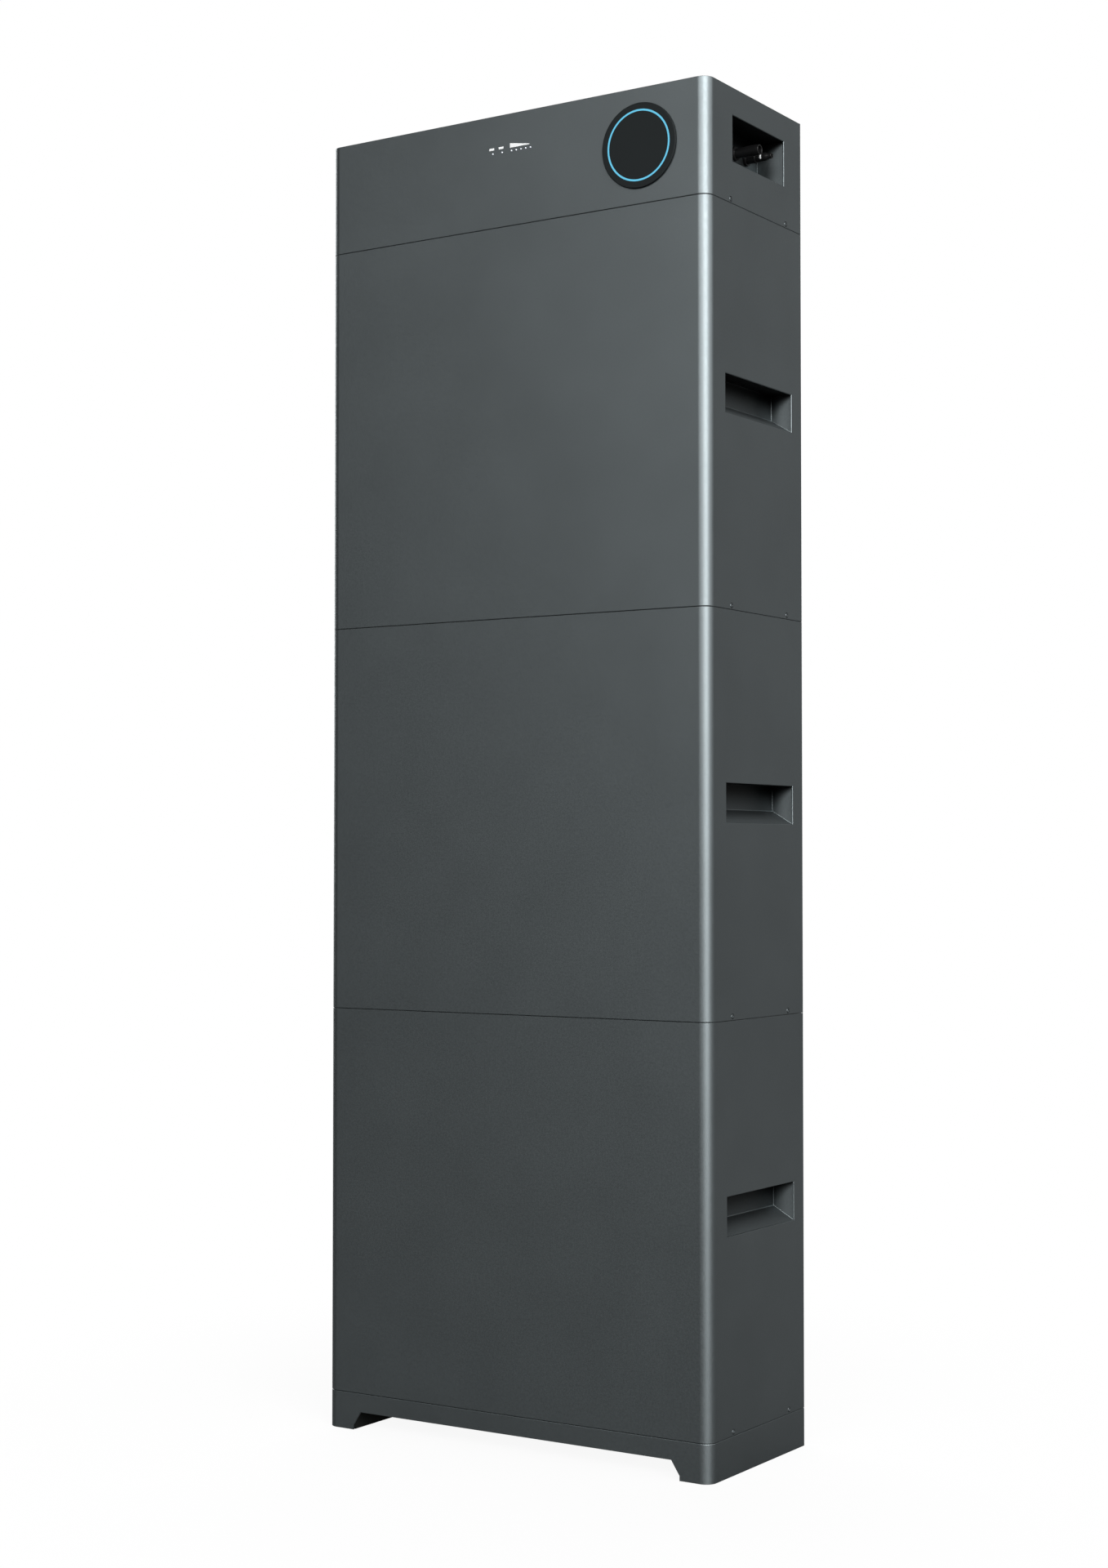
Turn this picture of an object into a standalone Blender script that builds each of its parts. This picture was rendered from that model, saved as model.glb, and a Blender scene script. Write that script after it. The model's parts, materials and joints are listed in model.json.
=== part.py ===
"""Stacked battery tower: a plinth, three battery modules and a control unit, standing on the floor.

Lengths are in metres. X runs to the right, Y to the back and Z up. The origin is on the floor, in the middle
of the case's footprint.
"""

import math

import bmesh
import bpy

# Case as seen from outside
CASE_WIDTH = 0.600
CASE_DEPTH = 0.253
BASE_HEIGHT = 0.050
MODULE_HEIGHT = 0.520
CONTROL_HEIGHT = 0.150
CORNER_RADIUS = 0.0156
REAR_RADIUS = 0.002
EDGE_CHAMFER = 0.0006
SEAM = 0.0004
MODULE_NAMES = ("lower", "middle", "upper")

# Sheet metal and fits
CASE_WALL = 0.002
REAR_SHEET = 0.0015
PLATE_SHEET = 0.002
RETURN_WIDTH = 0.007
REAR_FLANGE = 0.014
PAN_HEIGHT = 0.012
DECK_RIM = 0.012
PAN_RADIUS = 0.004
LIP_SHEET = 0.0015
LIP_RISE = 0.009
LIP_LENGTH = 0.150
LIP_SET = 0.0002
FIT = 0.0003

# Plinth
ARCH_HEIGHT = 0.0245
ARCH_SHOULDER = 0.0063
ARCH_SLOPE = 0.012
FOOT_WIDTH = 0.0445

# Hand pockets in the module sides
HANDLE_MARGIN = 0.0287
HANDLE_HEIGHT = 0.050
HANDLE_RAISE = 0.015
HANDLE_DEPTH = 0.029
HANDLE_DRAFT = 0.003
HANDLE_SLOPE = 0.017
POCKET_WALL = 0.002
POCKET_FLANGE = 0.008
RIM_CHAMFER = 0.0012

# Cells, busbars and monitor board of a module
CELLS_PER_BLOCK = 8
SIDE_BAY = 0.120
FRONT_BAY = 0.030
REAR_BAY = 0.014
TOP_BAY = 0.050
CENTRE_GAP = 0.008
END_PLATE = 0.010
CELL_GROOVE = 0.002
TERMINAL_SIZE = 0.018
TERMINAL_MARGIN = 0.027
TERMINAL_HEIGHT = 0.003
BUSBAR_PANEL = 0.002
BUSBAR_HEIGHT = 0.002
BUSBAR_WIDTH = 0.022
BOARD_SHEET = 0.0016
MONITOR_LENGTH = 0.240
MONITOR_WIDTH = 0.100
POST_RADIUS = 0.004
POST_HEIGHT = 0.008
POST_MARGIN = 0.012
CHIP_HEIGHT = 0.006
JOIN = 0.0005

# Blind connectors between the units
STACK_LENGTH = 0.060
STACK_WIDTH = 0.022
NOSE_INSET = 0.004
STACK_FLANGE = 0.008
STACK_SHEET = 0.0025
PLUG_BELOW = 0.020
PLUG_ABOVE = 0.026
SOCKET_HEIGHT = 0.030
SOCKET_WALL = 0.006
NOSE_CLEARANCE = 0.0006

# Recesses in the control unit's sides
RECESS_WIDTH = 0.140
RECESS_HEIGHT = 0.060
RECESS_RAISE = 0.0097
RECESS_DEPTH = 0.040

# Pair of power connectors in the right recess
CONNECTOR_STEPS = 24
CONNECTOR_PITCH = 0.030
CONNECTOR_SHIFT = 0.0225
CONNECTOR_RAISE = 0.0035
SHANK_RADIUS = 0.006
SHANK_LENGTH = 0.020
BASE_RADIUS = 0.0100
BASE_LENGTH = 0.003
SOCKET_RADIUS = 0.0075
SOCKET_BORE = 0.0050
SOCKET_DEPTH = 0.018
SOCKET_BEVEL = 0.0006
PIN_BODY_RADIUS = 0.0065
COLLAR_PLACE = 0.014
COLLAR_RADIUS = 0.0080
COLLAR_LENGTH = 0.003
PIN_NECK_RADIUS = 0.0053
PIN_RADIUS = 0.0028
PIN_LENGTH = 0.010
TIP_SET = 0.0005

# Badge and indicator lights on the control unit's front
ROUND_STEPS = 64
BADGE_DIAMETER = 0.110
BADGE_HEIGHT = 0.003
BADGE_BEVEL = 0.0006
BADGE_INSET = 0.100
RING_INSET = 0.010
RING_WIDTH = 0.0024
RING_HEIGHT = 0.0012
RING_PROUD = 0.0001
LIGHT_RADIUS = 0.0013
LIGHT_STEPS = 10
LIGHT_PITCH = 0.0075
LIGHT_GRID = (-4, -2, 0, 1, 2, 3, 4)
LIGHT_SHIFT = 0.0025
LIGHT_RAISE = 0.0248
LIGHT_PROUD = 0.0002
LIGHT_CLEARANCE = 0.0002
GUIDE_HEIGHT = 0.008
GUIDE_DEPTH = 0.006
GUIDE_MARGIN = 0.006

# Electronics inside the control unit
BOARD_LENGTH = 0.240
BOARD_MARGIN = 0.028
BOARD_GAP = 0.010
CONTACTOR_LENGTH = 0.064
CONTACTOR_WIDTH = 0.040
CONTACTOR_HEIGHT = 0.056
CONTACTOR_FOOT = 0.008
FOOT_SHEET = 0.004
STUD_RADIUS = 0.005
STUD_HEIGHT = 0.010
STUD_STEPS = 12
FUSE_LENGTH = 0.080
FUSE_WIDTH = 0.028
FUSE_CLIP = 0.010
FUSE_CLIP_HEIGHT = 0.030
FUSE_RADIUS = 0.010
POWER_PLACE = 0.080
POWER_BACK = 0.040

# Breaker, power button and data ports in the left recess
SWITCH_MARGIN = 0.008
BREAKER_WIDTH = 0.036
BREAKER_HEIGHT = 0.080
BREAKER_DEPTH = 0.050
BREAKER_NOSE = 0.044
BREAKER_SHOULDER = 0.001
NOSE_OUT = 0.012
LEVER_HUB = 0.0065
LEVER_WIDTH = 0.0110
LEVER_REACH = 0.016
LEVER_ROOT = 0.0060
LEVER_TIP = 0.0040
LEVER_REST = 40.0
LEVER_CLEARANCE = 0.0004
LEVER_SLOT = 0.026
HUB_PROUD = 0.0005
AXLE_RADIUS = 0.0015
AXLE_LENGTH = 0.0015
AXLE_CLEARANCE = 0.0001
BUTTON_RADIUS = 0.006
BUTTON_LENGTH = 0.010
BUTTON_PROUD = 0.003
BUTTON_CROWN = 0.0008
BUTTON_CLEARANCE = 0.0003
BUTTON_BARREL = 0.008
BUTTON_FLANGE = 0.010
BUTTON_FLANGE_SHEET = 0.002
BUTTON_BORE = 0.016
BUTTON_BACK = 0.028
PORT_LENGTH = 0.030
PORT_HEIGHT = 0.016
PORT_FLANGE = 0.002
PORT_SHEET = 0.002
PORT_BACK = 0.026
PORT_MOUTH_LENGTH = 0.0117
PORT_MOUTH_HEIGHT = 0.0084
PORT_MOUTH_DEPTH = 0.014
PORT_PITCH = 0.0145

# Smoothness of round corners
CORNER_STEPS = 10
REAR_STEPS = 3
SMOOTH_ANGLE = math.radians(32)

# Places that follow from the sizes above
HALF_WIDTH = CASE_WIDTH / 2
FRONT = -CASE_DEPTH / 2
REAR = CASE_DEPTH / 2
SIDE_MIDDLE = CORNER_RADIUS / 2
COVER_STEP = REAR_SHEET + 2 * FIT
INNER_SIDE = HALF_WIDTH - CASE_WALL - FIT
INNER_FRONT = FRONT + CASE_WALL + FIT
INNER_REAR = REAR - COVER_STEP - CASE_WALL - FIT
PAN_SIDE = INNER_SIDE - LIP_SET - LIP_SHEET - FIT
STACK_PLACE = HALF_WIDTH - SIDE_BAY / 2
BLOCK_LOW = PAN_HEIGHT + FIT
BLOCK_HIGH = MODULE_HEIGHT - SEAM / 2 - PLATE_SHEET - TOP_BAY
BLOCK_FRONT = FRONT + FRONT_BAY
BLOCK_REAR = REAR - REAR_BAY
BLOCK_INNER = CENTRE_GAP / 2
BLOCK_OUTER = HALF_WIDTH - SIDE_BAY
CELL_THICKNESS = (BLOCK_HIGH - BLOCK_LOW - 2 * END_PLATE) / CELLS_PER_BLOCK
RECESS_MIDDLE = CONTROL_HEIGHT / 2 + RECESS_RAISE
RECESS_WALL = HALF_WIDTH - RECESS_DEPTH
LIGHT_LEVEL = CONTROL_HEIGHT / 2 + LIGHT_RAISE


# Scene and materials


def clear_scene():
    for thing in list(bpy.data.objects):
        bpy.data.objects.remove(thing, do_unlink=True)


def linear(value):
    """A screen value from 0 to 255 as the linear value that a shader takes."""
    share = value / 255
    if share <= 0.04045:
        return share / 12.92
    return ((share + 0.055) / 1.055) ** 2.4


def finish(name, colour, roughness, metallic=0.0):
    material = bpy.data.materials.new(name)
    material.use_nodes = True
    shader = material.node_tree.nodes["Principled BSDF"]
    shader.inputs["Base Color"].default_value = [linear(value) for value in colour] + [1.0]
    shader.inputs["Roughness"].default_value = roughness
    shader.inputs["Metallic"].default_value = metallic
    return material


def all_finishes():
    return {
        "case": finish("anthracite_coat", (78, 84, 86), 0.42, 0.6),
        "pocket": finish("pocket_coat", (70, 75, 77), 0.5, 0.4),
        "plate": finish("zinc_plate", (150, 152, 150), 0.4, 0.9),
        "cells": finish("cell_wrap", (52, 92, 150), 0.45),
        "busbar": finish("busbar_metal", (186, 150, 96), 0.35, 0.9),
        "board": finish("circuit_board", (28, 92, 58), 0.5),
        "black": finish("black_plastic", (24, 25, 26), 0.5),
        "badge": finish("badge_face", (43, 45, 45), 0.3),
        "ring": finish("ring_inlay", (125, 205, 230), 0.35),
        "lens": finish("clear_lens", (228, 234, 240), 0.2),
        "grey": finish("grey_plastic", (176, 178, 178), 0.5),
        "button": finish("button_cap", (196, 198, 198), 0.3, 0.5),
    }


# Shapes


def loft(rings, closed=False):
    """A solid through rings with equal counts of points, capped at its ends or joined end to end."""
    shape = bmesh.new()
    loops = [[shape.verts.new(point) for point in ring] for ring in rings]
    pairs = list(zip(loops, loops[1:]))
    if closed:
        pairs.append((loops[-1], loops[0]))
    else:
        shape.faces.new(loops[0])
        shape.faces.new(loops[-1])
    for first, second in pairs:
        for index in range(len(first)):
            after = (index + 1) % len(first)
            shape.faces.new((first[index], first[after], second[after], second[index]))
    bmesh.ops.recalc_face_normals(shape, faces=shape.faces)
    return shape


def at_height(outline, z):
    return [(x, y, z) for x, y in outline]


def arc(centre, radius, start, steps):
    """Points on a quarter turn that starts at an angle in degrees."""
    points = []
    for step in range(steps + 1):
        angle = math.radians(start + 90 * step / steps)
        points.append((centre[0] + radius * math.cos(angle), centre[1] + radius * math.sin(angle)))
    return points


def flat_ring(centre, half_x, half_y, z):
    """Four corners of a level rectangle."""
    x, y = centre
    corners = [(-half_x, -half_y), (half_x, -half_y), (half_x, half_y), (-half_x, half_y)]
    return [(x + along, y + across, z) for along, across in corners]


def side_ring(x, opening, grow=0.0):
    """Four corners of a rectangle that faces sideways, grown on every side."""
    front, rear, low, high = opening
    front -= grow
    rear += grow
    low -= grow
    high += grow
    return [(x, front, low), (x, rear, low), (x, rear, high), (x, front, high)]


def box(low, high):
    middle = ((low[0] + high[0]) / 2, (low[1] + high[1]) / 2)
    half_x = (high[0] - low[0]) / 2
    half_y = (high[1] - low[1]) / 2
    return loft([flat_ring(middle, half_x, half_y, low[2]), flat_ring(middle, half_x, half_y, high[2])])


def turned(axis, centre, profile, steps, closed=False):
    """A solid turned about a line along X, Y or Z. The profile lists places along it and radii."""
    rings = []
    for along, radius in profile:
        ring = []
        for step in range(steps):
            angle = 2 * math.pi * step / steps
            first = centre[0] + radius * math.cos(angle)
            second = centre[1] + radius * math.sin(angle)
            point = {"X": (along, first, second), "Y": (first, along, second), "Z": (first, second, along)}
            ring.append(point[axis])
        rings.append(ring)
    return loft(rings, closed)


def mirrored(rings, side):
    """Rings drawn for the right side, turned over for the left."""
    return [[(side * x, y, z) for x, y, z in ring] for ring in rings]


def together(shapes):
    """Separate shapes gathered into one."""
    whole = bmesh.new()
    for shape in shapes:
        mesh = bpy.data.meshes.new("gathered")
        shape.to_mesh(mesh)
        shape.free()
        whole.from_mesh(mesh)
        bpy.data.meshes.remove(mesh)
    return whole


def helper(shape):
    mesh = bpy.data.meshes.new("helper")
    shape.to_mesh(mesh)
    shape.free()
    thing = bpy.data.objects.new("helper", mesh)
    bpy.context.collection.objects.link(thing)
    return thing


def combine(shape, tool, operation):
    """One shape joined with another, or cut by it."""
    things = (helper(shape), helper(tool))
    change = things[0].modifiers.new("combine", "BOOLEAN")
    change.operation = operation
    change.solver = "EXACT"
    change.object = things[1]
    result = bmesh.new()
    result.from_object(things[0], bpy.context.evaluated_depsgraph_get())
    for thing in things:
        mesh = thing.data
        bpy.data.objects.remove(thing, do_unlink=True)
        bpy.data.meshes.remove(mesh)
    return result


def cut(shape, tool):
    return combine(shape, tool, "DIFFERENCE")


def fuse(shape, tool):
    return combine(shape, tool, "UNION")


# Folded sheet metal shared by the units


def wrap_outline(inset):
    """Section of a case: front and sides in one sheet, with a stepped return behind each side."""
    front_centre = (HALF_WIDTH - CORNER_RADIUS, FRONT + CORNER_RADIUS)
    rear_centre = (HALF_WIDTH - REAR_RADIUS, REAR - REAR_RADIUS)
    step = HALF_WIDTH - RETURN_WIDTH
    end = step - REAR_FLANGE
    outer = arc(front_centre, CORNER_RADIUS - inset, 270, CORNER_STEPS)
    outer += arc(rear_centre, REAR_RADIUS - inset, 0, REAR_STEPS)
    outer += [(step, REAR - inset), (step, REAR - COVER_STEP), (end, REAR - COVER_STEP)]
    inner = arc(front_centre, CORNER_RADIUS - CASE_WALL, 270, CORNER_STEPS)
    inner += [(HALF_WIDTH - CASE_WALL, REAR - CASE_WALL), (step + CASE_WALL, REAR - CASE_WALL)]
    inner += [(step + CASE_WALL, REAR - COVER_STEP - CASE_WALL), (end, REAR - COVER_STEP - CASE_WALL)]
    left_outer = [(-x, y) for x, y in outer]
    left_inner = [(-x, y) for x, y in inner]
    return outer[::-1] + left_outer + left_inner[::-1] + inner


def case_wrap(low, high):
    """A case with the outer edges at its seams chamfered."""
    full = wrap_outline(0.0)
    chamfered = wrap_outline(EDGE_CHAMFER)
    rings = [
        at_height(chamfered, low),
        at_height(full, low + EDGE_CHAMFER),
        at_height(full, high - EDGE_CHAMFER),
        at_height(chamfered, high),
    ]
    return loft(rings)


def plan_outline(half_width, front, rear, front_radius, rear_radius):
    """A level rectangle with round front corners and tighter rear ones."""
    front_side = half_width - front_radius
    rear_side = half_width - rear_radius
    points = arc((-front_side, front + front_radius), front_radius, 180, CORNER_STEPS)
    points += arc((front_side, front + front_radius), front_radius, 270, CORNER_STEPS)
    points += arc((rear_side, rear - rear_radius), rear_radius, 0, REAR_STEPS)
    points += arc((-rear_side, rear - rear_radius), rear_radius, 90, REAR_STEPS)
    return points


def turned_down_plate(half_width, low, high):
    """A plate that fits inside a case, with its rim turned down all round."""
    radius = CORNER_RADIUS - CASE_WALL - FIT
    outer = plan_outline(half_width, INNER_FRONT, INNER_REAR, radius, PAN_RADIUS)
    inner = plan_outline(
        half_width - PLATE_SHEET,
        INNER_FRONT + PLATE_SHEET,
        INNER_REAR - PLATE_SHEET,
        radius - PLATE_SHEET,
        PAN_RADIUS - PLATE_SHEET,
    )
    rings = [
        at_height(inner, high - PLATE_SHEET),
        at_height(inner, low),
        at_height(outer, low),
        at_height(outer, high),
    ]
    return loft(rings)


def stack_window(low, high):
    """Cuts the way through a plate for the connectors between two units."""
    half_x = STACK_LENGTH / 2 + FIT
    half_y = STACK_WIDTH / 2 + FIT
    middle = (STACK_PLACE, 0)
    return loft([flat_ring(middle, half_x, half_y, low), flat_ring(middle, half_x, half_y, high)])


def bottom_pan():
    plate = turned_down_plate(PAN_SIDE, SEAM / 2, PAN_HEIGHT)
    return cut(plate, stack_window(0, PAN_HEIGHT + PLATE_SHEET))


def top_deck(height):
    """The plate that closes a unit, with a lip on each side that the next unit slips over."""
    high = height - SEAM / 2
    plate = turned_down_plate(INNER_SIDE, high - DECK_RIM, high)
    outer = INNER_SIDE - LIP_SET
    inner = outer - LIP_SHEET
    front = SIDE_MIDDLE - LIP_LENGTH / 2
    rear = SIDE_MIDDLE + LIP_LENGTH / 2
    low = high - DECK_RIM / 2
    right = box((inner, front, low), (outer, rear, high + LIP_RISE))
    left = box((-outer, front, low), (-inner, rear, high + LIP_RISE))
    return fuse(plate, together([right, left]))


def rear_cover(low, high):
    half = HALF_WIDTH - RETURN_WIDTH - FIT
    face = REAR - COVER_STEP + FIT
    return box((-half, face, low), (half, face + REAR_SHEET, high))


def side_opening(half_width, height, middle):
    """Front, rear, low and high edges of an opening centred on the flat part of a side."""
    return (SIDE_MIDDLE - half_width, SIDE_MIDDLE + half_width, middle - height / 2, middle + height / 2)


def opening_cutter(opening):
    """Cuts an opening in both sides of a case, with a chamfered outer rim."""
    reach = HALF_WIDTH + RIM_CHAMFER
    narrow = HALF_WIDTH - RIM_CHAMFER
    rings = [
        side_ring(-reach, opening, 2 * RIM_CHAMFER),
        side_ring(-narrow, opening),
        side_ring(narrow, opening),
        side_ring(reach, opening, 2 * RIM_CHAMFER),
    ]
    return loft(rings)


def pocket(opening, depth, side, draft=0.0, slope=0.0):
    """A tray behind a side opening: a flange against the wall, then walls and a back. Its floor may rise."""
    front, rear, low, high = opening
    end = (front + draft, rear - draft, low + slope, high)
    behind = INNER_SIDE - POCKET_WALL
    back = HALF_WIDTH - depth
    rings = [
        side_ring(back - POCKET_WALL, end, POCKET_WALL),
        side_ring(behind, opening, POCKET_WALL),
        side_ring(behind, opening, POCKET_FLANGE),
        side_ring(INNER_SIDE, opening, POCKET_FLANGE),
        side_ring(INNER_SIDE, opening),
        side_ring(back, end),
    ]
    return loft(mirrored(rings, side))


# Plinth


def plinth_ring(inset, z):
    outline = plan_outline(
        HALF_WIDTH - inset, FRONT + inset, REAR - inset, CORNER_RADIUS - inset, REAR_RADIUS - inset
    )
    return at_height(outline, z)


def plinth_inner(z):
    radius = CORNER_RADIUS - CASE_WALL
    outline = plan_outline(
        HALF_WIDTH - CASE_WALL, FRONT + CASE_WALL, REAR - CASE_WALL, radius, REAR_RADIUS / 2
    )
    return at_height(outline, z)


def arch_cutter():
    """The cut-out between the feet, through the front and the rear of the skirt."""
    floor = HALF_WIDTH - FOOT_WIDTH
    top = floor - ARCH_SLOPE
    right = [(floor, -ARCH_SHOULDER), (floor, ARCH_SHOULDER), (top, ARCH_HEIGHT)]
    outline = right + [(-x, z) for x, z in reversed(right)]
    reach = REAR + CASE_WALL
    return loft([[(x, y, z) for x, z in outline] for y in (-reach, reach)])


def plinth_skirt():
    high = BASE_HEIGHT - SEAM / 2
    rings = [
        plinth_inner(0),
        plinth_ring(EDGE_CHAMFER, 0),
        plinth_ring(0, EDGE_CHAMFER),
        plinth_ring(0, high - EDGE_CHAMFER),
        plinth_ring(EDGE_CHAMFER, high),
        plinth_inner(high),
    ]
    return cut(loft(rings, closed=True), arch_cutter())


def foot_section(outer):
    """Section of a foot channel whose flanges reach out to a given place."""
    web = HALF_WIDTH - FOOT_WIDTH
    high = BASE_HEIGHT - SEAM / 2 - PLATE_SHEET - FIT
    return [
        (outer, 0),
        (web, 0),
        (web, high),
        (outer, high),
        (outer, high - CASE_WALL),
        (web + CASE_WALL, high - CASE_WALL),
        (web + CASE_WALL, CASE_WALL),
        (outer, CASE_WALL),
    ]


def foot_channel(side):
    """A channel along each foot, with its web at the cut-out's edge and flanges clipped at the corners."""
    outer = INNER_SIDE - PLATE_SHEET - FIT
    front = INNER_FRONT + PLATE_SHEET + FIT
    rear = INNER_REAR - PLATE_SHEET - FIT
    places = [
        (front, outer - CORNER_RADIUS),
        (front + CORNER_RADIUS, outer),
        (rear - PAN_RADIUS, outer),
        (rear, outer - PAN_RADIUS),
    ]
    return loft([[(side * x, y, z) for x, z in foot_section(edge)] for y, edge in places])


# Battery module


def handle_opening():
    half = (CASE_DEPTH - CORNER_RADIUS) / 2 - HANDLE_MARGIN
    return side_opening(half, HANDLE_HEIGHT, MODULE_HEIGHT / 2 + HANDLE_RAISE)


def module_case():
    wrap = case_wrap(SEAM / 2, MODULE_HEIGHT - SEAM / 2)
    return cut(wrap, opening_cutter(handle_opening()))


def module_deck():
    high = MODULE_HEIGHT
    return cut(top_deck(high), stack_window(high - DECK_RIM, high + DECK_RIM))


def handle_pocket(side):
    return pocket(handle_opening(), HANDLE_DEPTH, side, HANDLE_DRAFT, HANDLE_SLOPE)


def cell_levels():
    """Heights at which a cell or an end plate meets the next."""
    first = BLOCK_LOW + END_PLATE
    return [first + index * CELL_THICKNESS for index in range(CELLS_PER_BLOCK + 1)]


def cell_middles():
    return [level + CELL_THICKNESS / 2 for level in cell_levels()[:-1]]


def terminal_places():
    inner = BLOCK_INNER + TERMINAL_MARGIN
    outer = BLOCK_OUTER - TERMINAL_MARGIN
    return (inner, outer)


def grooved_edge(x, groove):
    """One edge of the cell block from bottom to top, with a groove at each joint."""
    points = [(x, BLOCK_LOW)]
    for level in cell_levels():
        points += [(x, level - CELL_GROOVE / 2), (x - groove, level), (x, level + CELL_GROOVE / 2)]
    points.append((x, BLOCK_HIGH))
    return points


def cell_block(side):
    """Cells laid flat in a pile between two end plates, with a pair of terminal pads on each cell's front."""
    outline = grooved_edge(BLOCK_OUTER, CELL_GROOVE)
    outline += grooved_edge(BLOCK_INNER, -CELL_GROOVE)[::-1]
    pile = loft([[(side * x, y, z) for x, z in outline] for y in (BLOCK_FRONT, BLOCK_REAR)])
    half = TERMINAL_SIZE / 2
    pads = []
    for z in cell_middles():
        for x in terminal_places():
            low = (side * x - half, BLOCK_FRONT - TERMINAL_HEIGHT, z - half)
            high = (side * x + half, BLOCK_FRONT + JOIN, z + half)
            pads.append(box(low, high))
    return fuse(pile, together(pads))


def busbar(x, low, high, face):
    half = BUSBAR_WIDTH / 2
    return box((x - half, face - BUSBAR_HEIGHT, low - half), (x + half, face + JOIN, high + half))


def busbar_panel():
    """A carrier for the bars that join the cells of a block in series and the two blocks to each other."""
    back = BLOCK_FRONT - TERMINAL_HEIGHT - FIT
    face = back - BUSBAR_PANEL
    levels = cell_levels()
    plate = box((-BLOCK_OUTER, face, levels[0]), (BLOCK_OUTER, back, levels[-1]))
    middles = cell_middles()
    inner, outer = terminal_places()
    bars = []
    for side in (-1, 1):
        for start, place in ((0, outer), (1, inner)):
            for index in range(start, CELLS_PER_BLOCK - 1, 2):
                bars.append(busbar(side * place, middles[index], middles[index + 1], face))
    half = BUSBAR_WIDTH / 2
    link_low = (-inner - half, face - BUSBAR_HEIGHT, middles[-1] - half)
    link_high = (inner + half, face + JOIN, middles[-1] + half)
    bars.append(box(link_low, link_high))
    return fuse(plate, together(bars))


def monitor_board():
    """The board that watches the cells, on posts over the two blocks."""
    low = BLOCK_HIGH + FIT
    board_low = low + POST_HEIGHT
    middle = (BLOCK_FRONT + BLOCK_REAR) / 2
    half_x = MONITOR_LENGTH / 2
    half_y = MONITOR_WIDTH / 2
    high = board_low + BOARD_SHEET
    board = box((-half_x, middle - half_y, board_low), (half_x, middle + half_y, high))
    posts = []
    for x in (-half_x + POST_MARGIN, half_x - POST_MARGIN):
        for y in (middle - half_y + POST_MARGIN, middle + half_y - POST_MARGIN):
            profile = [(low, POST_RADIUS), (board_low + JOIN, POST_RADIUS)]
            posts.append(turned("Z", (x, y), profile, STUD_STEPS))
    chips = []
    for x in (-half_x / 2, 0, half_x / 2):
        corner = (x - POST_MARGIN, middle - POST_MARGIN, high - JOIN)
        chips.append(box(corner, (x + POST_MARGIN, middle + POST_MARGIN, high + CHIP_HEIGHT)))
    return fuse(board, together(posts + chips))


def stack_plug():
    """The blind connector on a module's deck, with a nose that enters the unit above."""
    deck = MODULE_HEIGHT - SEAM / 2
    seat = deck + FIT
    middle = (STACK_PLACE, 0)
    half_x = STACK_LENGTH / 2
    half_y = STACK_WIDTH / 2
    rings = [
        flat_ring(middle, half_x, half_y, deck - PLUG_BELOW),
        flat_ring(middle, half_x, half_y, seat),
        flat_ring(middle, half_x + STACK_FLANGE, half_y + STACK_FLANGE, seat),
        flat_ring(middle, half_x + STACK_FLANGE, half_y + STACK_FLANGE, seat + STACK_SHEET),
        flat_ring(middle, half_x - NOSE_INSET, half_y - NOSE_INSET, seat + STACK_SHEET),
        flat_ring(middle, half_x - NOSE_INSET, half_y - NOSE_INSET, deck + PLUG_ABOVE),
    ]
    return loft(rings)


def stack_socket():
    """The blind connector on a unit's bottom pan, open below for the nose of the plug."""
    seat = PAN_HEIGHT + FIT
    middle = (STACK_PLACE, 0)
    hollow_x = STACK_LENGTH / 2 - NOSE_INSET + NOSE_CLEARANCE
    hollow_y = STACK_WIDTH / 2 - NOSE_INSET + NOSE_CLEARANCE
    wide_x = STACK_LENGTH / 2 + STACK_FLANGE
    wide_y = STACK_WIDTH / 2 + STACK_FLANGE
    rings = [
        flat_ring(middle, hollow_x, hollow_y, seat + SOCKET_HEIGHT - SOCKET_WALL),
        flat_ring(middle, hollow_x, hollow_y, seat),
        flat_ring(middle, wide_x, wide_y, seat),
        flat_ring(middle, wide_x, wide_y, seat + STACK_SHEET),
        flat_ring(middle, hollow_x + SOCKET_WALL, hollow_y + SOCKET_WALL, seat + STACK_SHEET),
        flat_ring(middle, hollow_x + SOCKET_WALL, hollow_y + SOCKET_WALL, seat + SOCKET_HEIGHT),
    ]
    return loft(rings)


# Control unit


def recess_opening():
    return side_opening(RECESS_WIDTH / 2, RECESS_HEIGHT, RECESS_MIDDLE)


def light_places():
    return [LIGHT_SHIFT + LIGHT_PITCH * step for step in LIGHT_GRID]


def light_pins(radius, front, rear):
    profile = [(front, radius), (rear, radius)]
    return [turned("Y", (x, LIGHT_LEVEL), profile, LIGHT_STEPS) for x in light_places()]


def control_case():
    wrap = case_wrap(SEAM / 2, CONTROL_HEIGHT)
    opened = cut(wrap, opening_cutter(recess_opening()))
    holes = light_pins(LIGHT_RADIUS + LIGHT_CLEARANCE, FRONT - CASE_WALL, FRONT + 2 * CASE_WALL)
    return cut(opened, together(holes))


def light_guide():
    """A clear bar behind the front wall, with one pin through it for each indicator."""
    middle = (light_places()[0] + light_places()[-1]) / 2
    half = (light_places()[-1] - light_places()[0]) / 2 + GUIDE_MARGIN
    low = (middle - half, INNER_FRONT, LIGHT_LEVEL - GUIDE_HEIGHT / 2)
    high = (middle + half, INNER_FRONT + GUIDE_DEPTH, LIGHT_LEVEL + GUIDE_HEIGHT / 2)
    pins = light_pins(LIGHT_RADIUS, FRONT - LIGHT_PROUD, INNER_FRONT + JOIN)
    return fuse(box(low, high), together(pins))


def badge_centre():
    return (HALF_WIDTH - BADGE_INSET, CONTROL_HEIGHT / 2)


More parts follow.
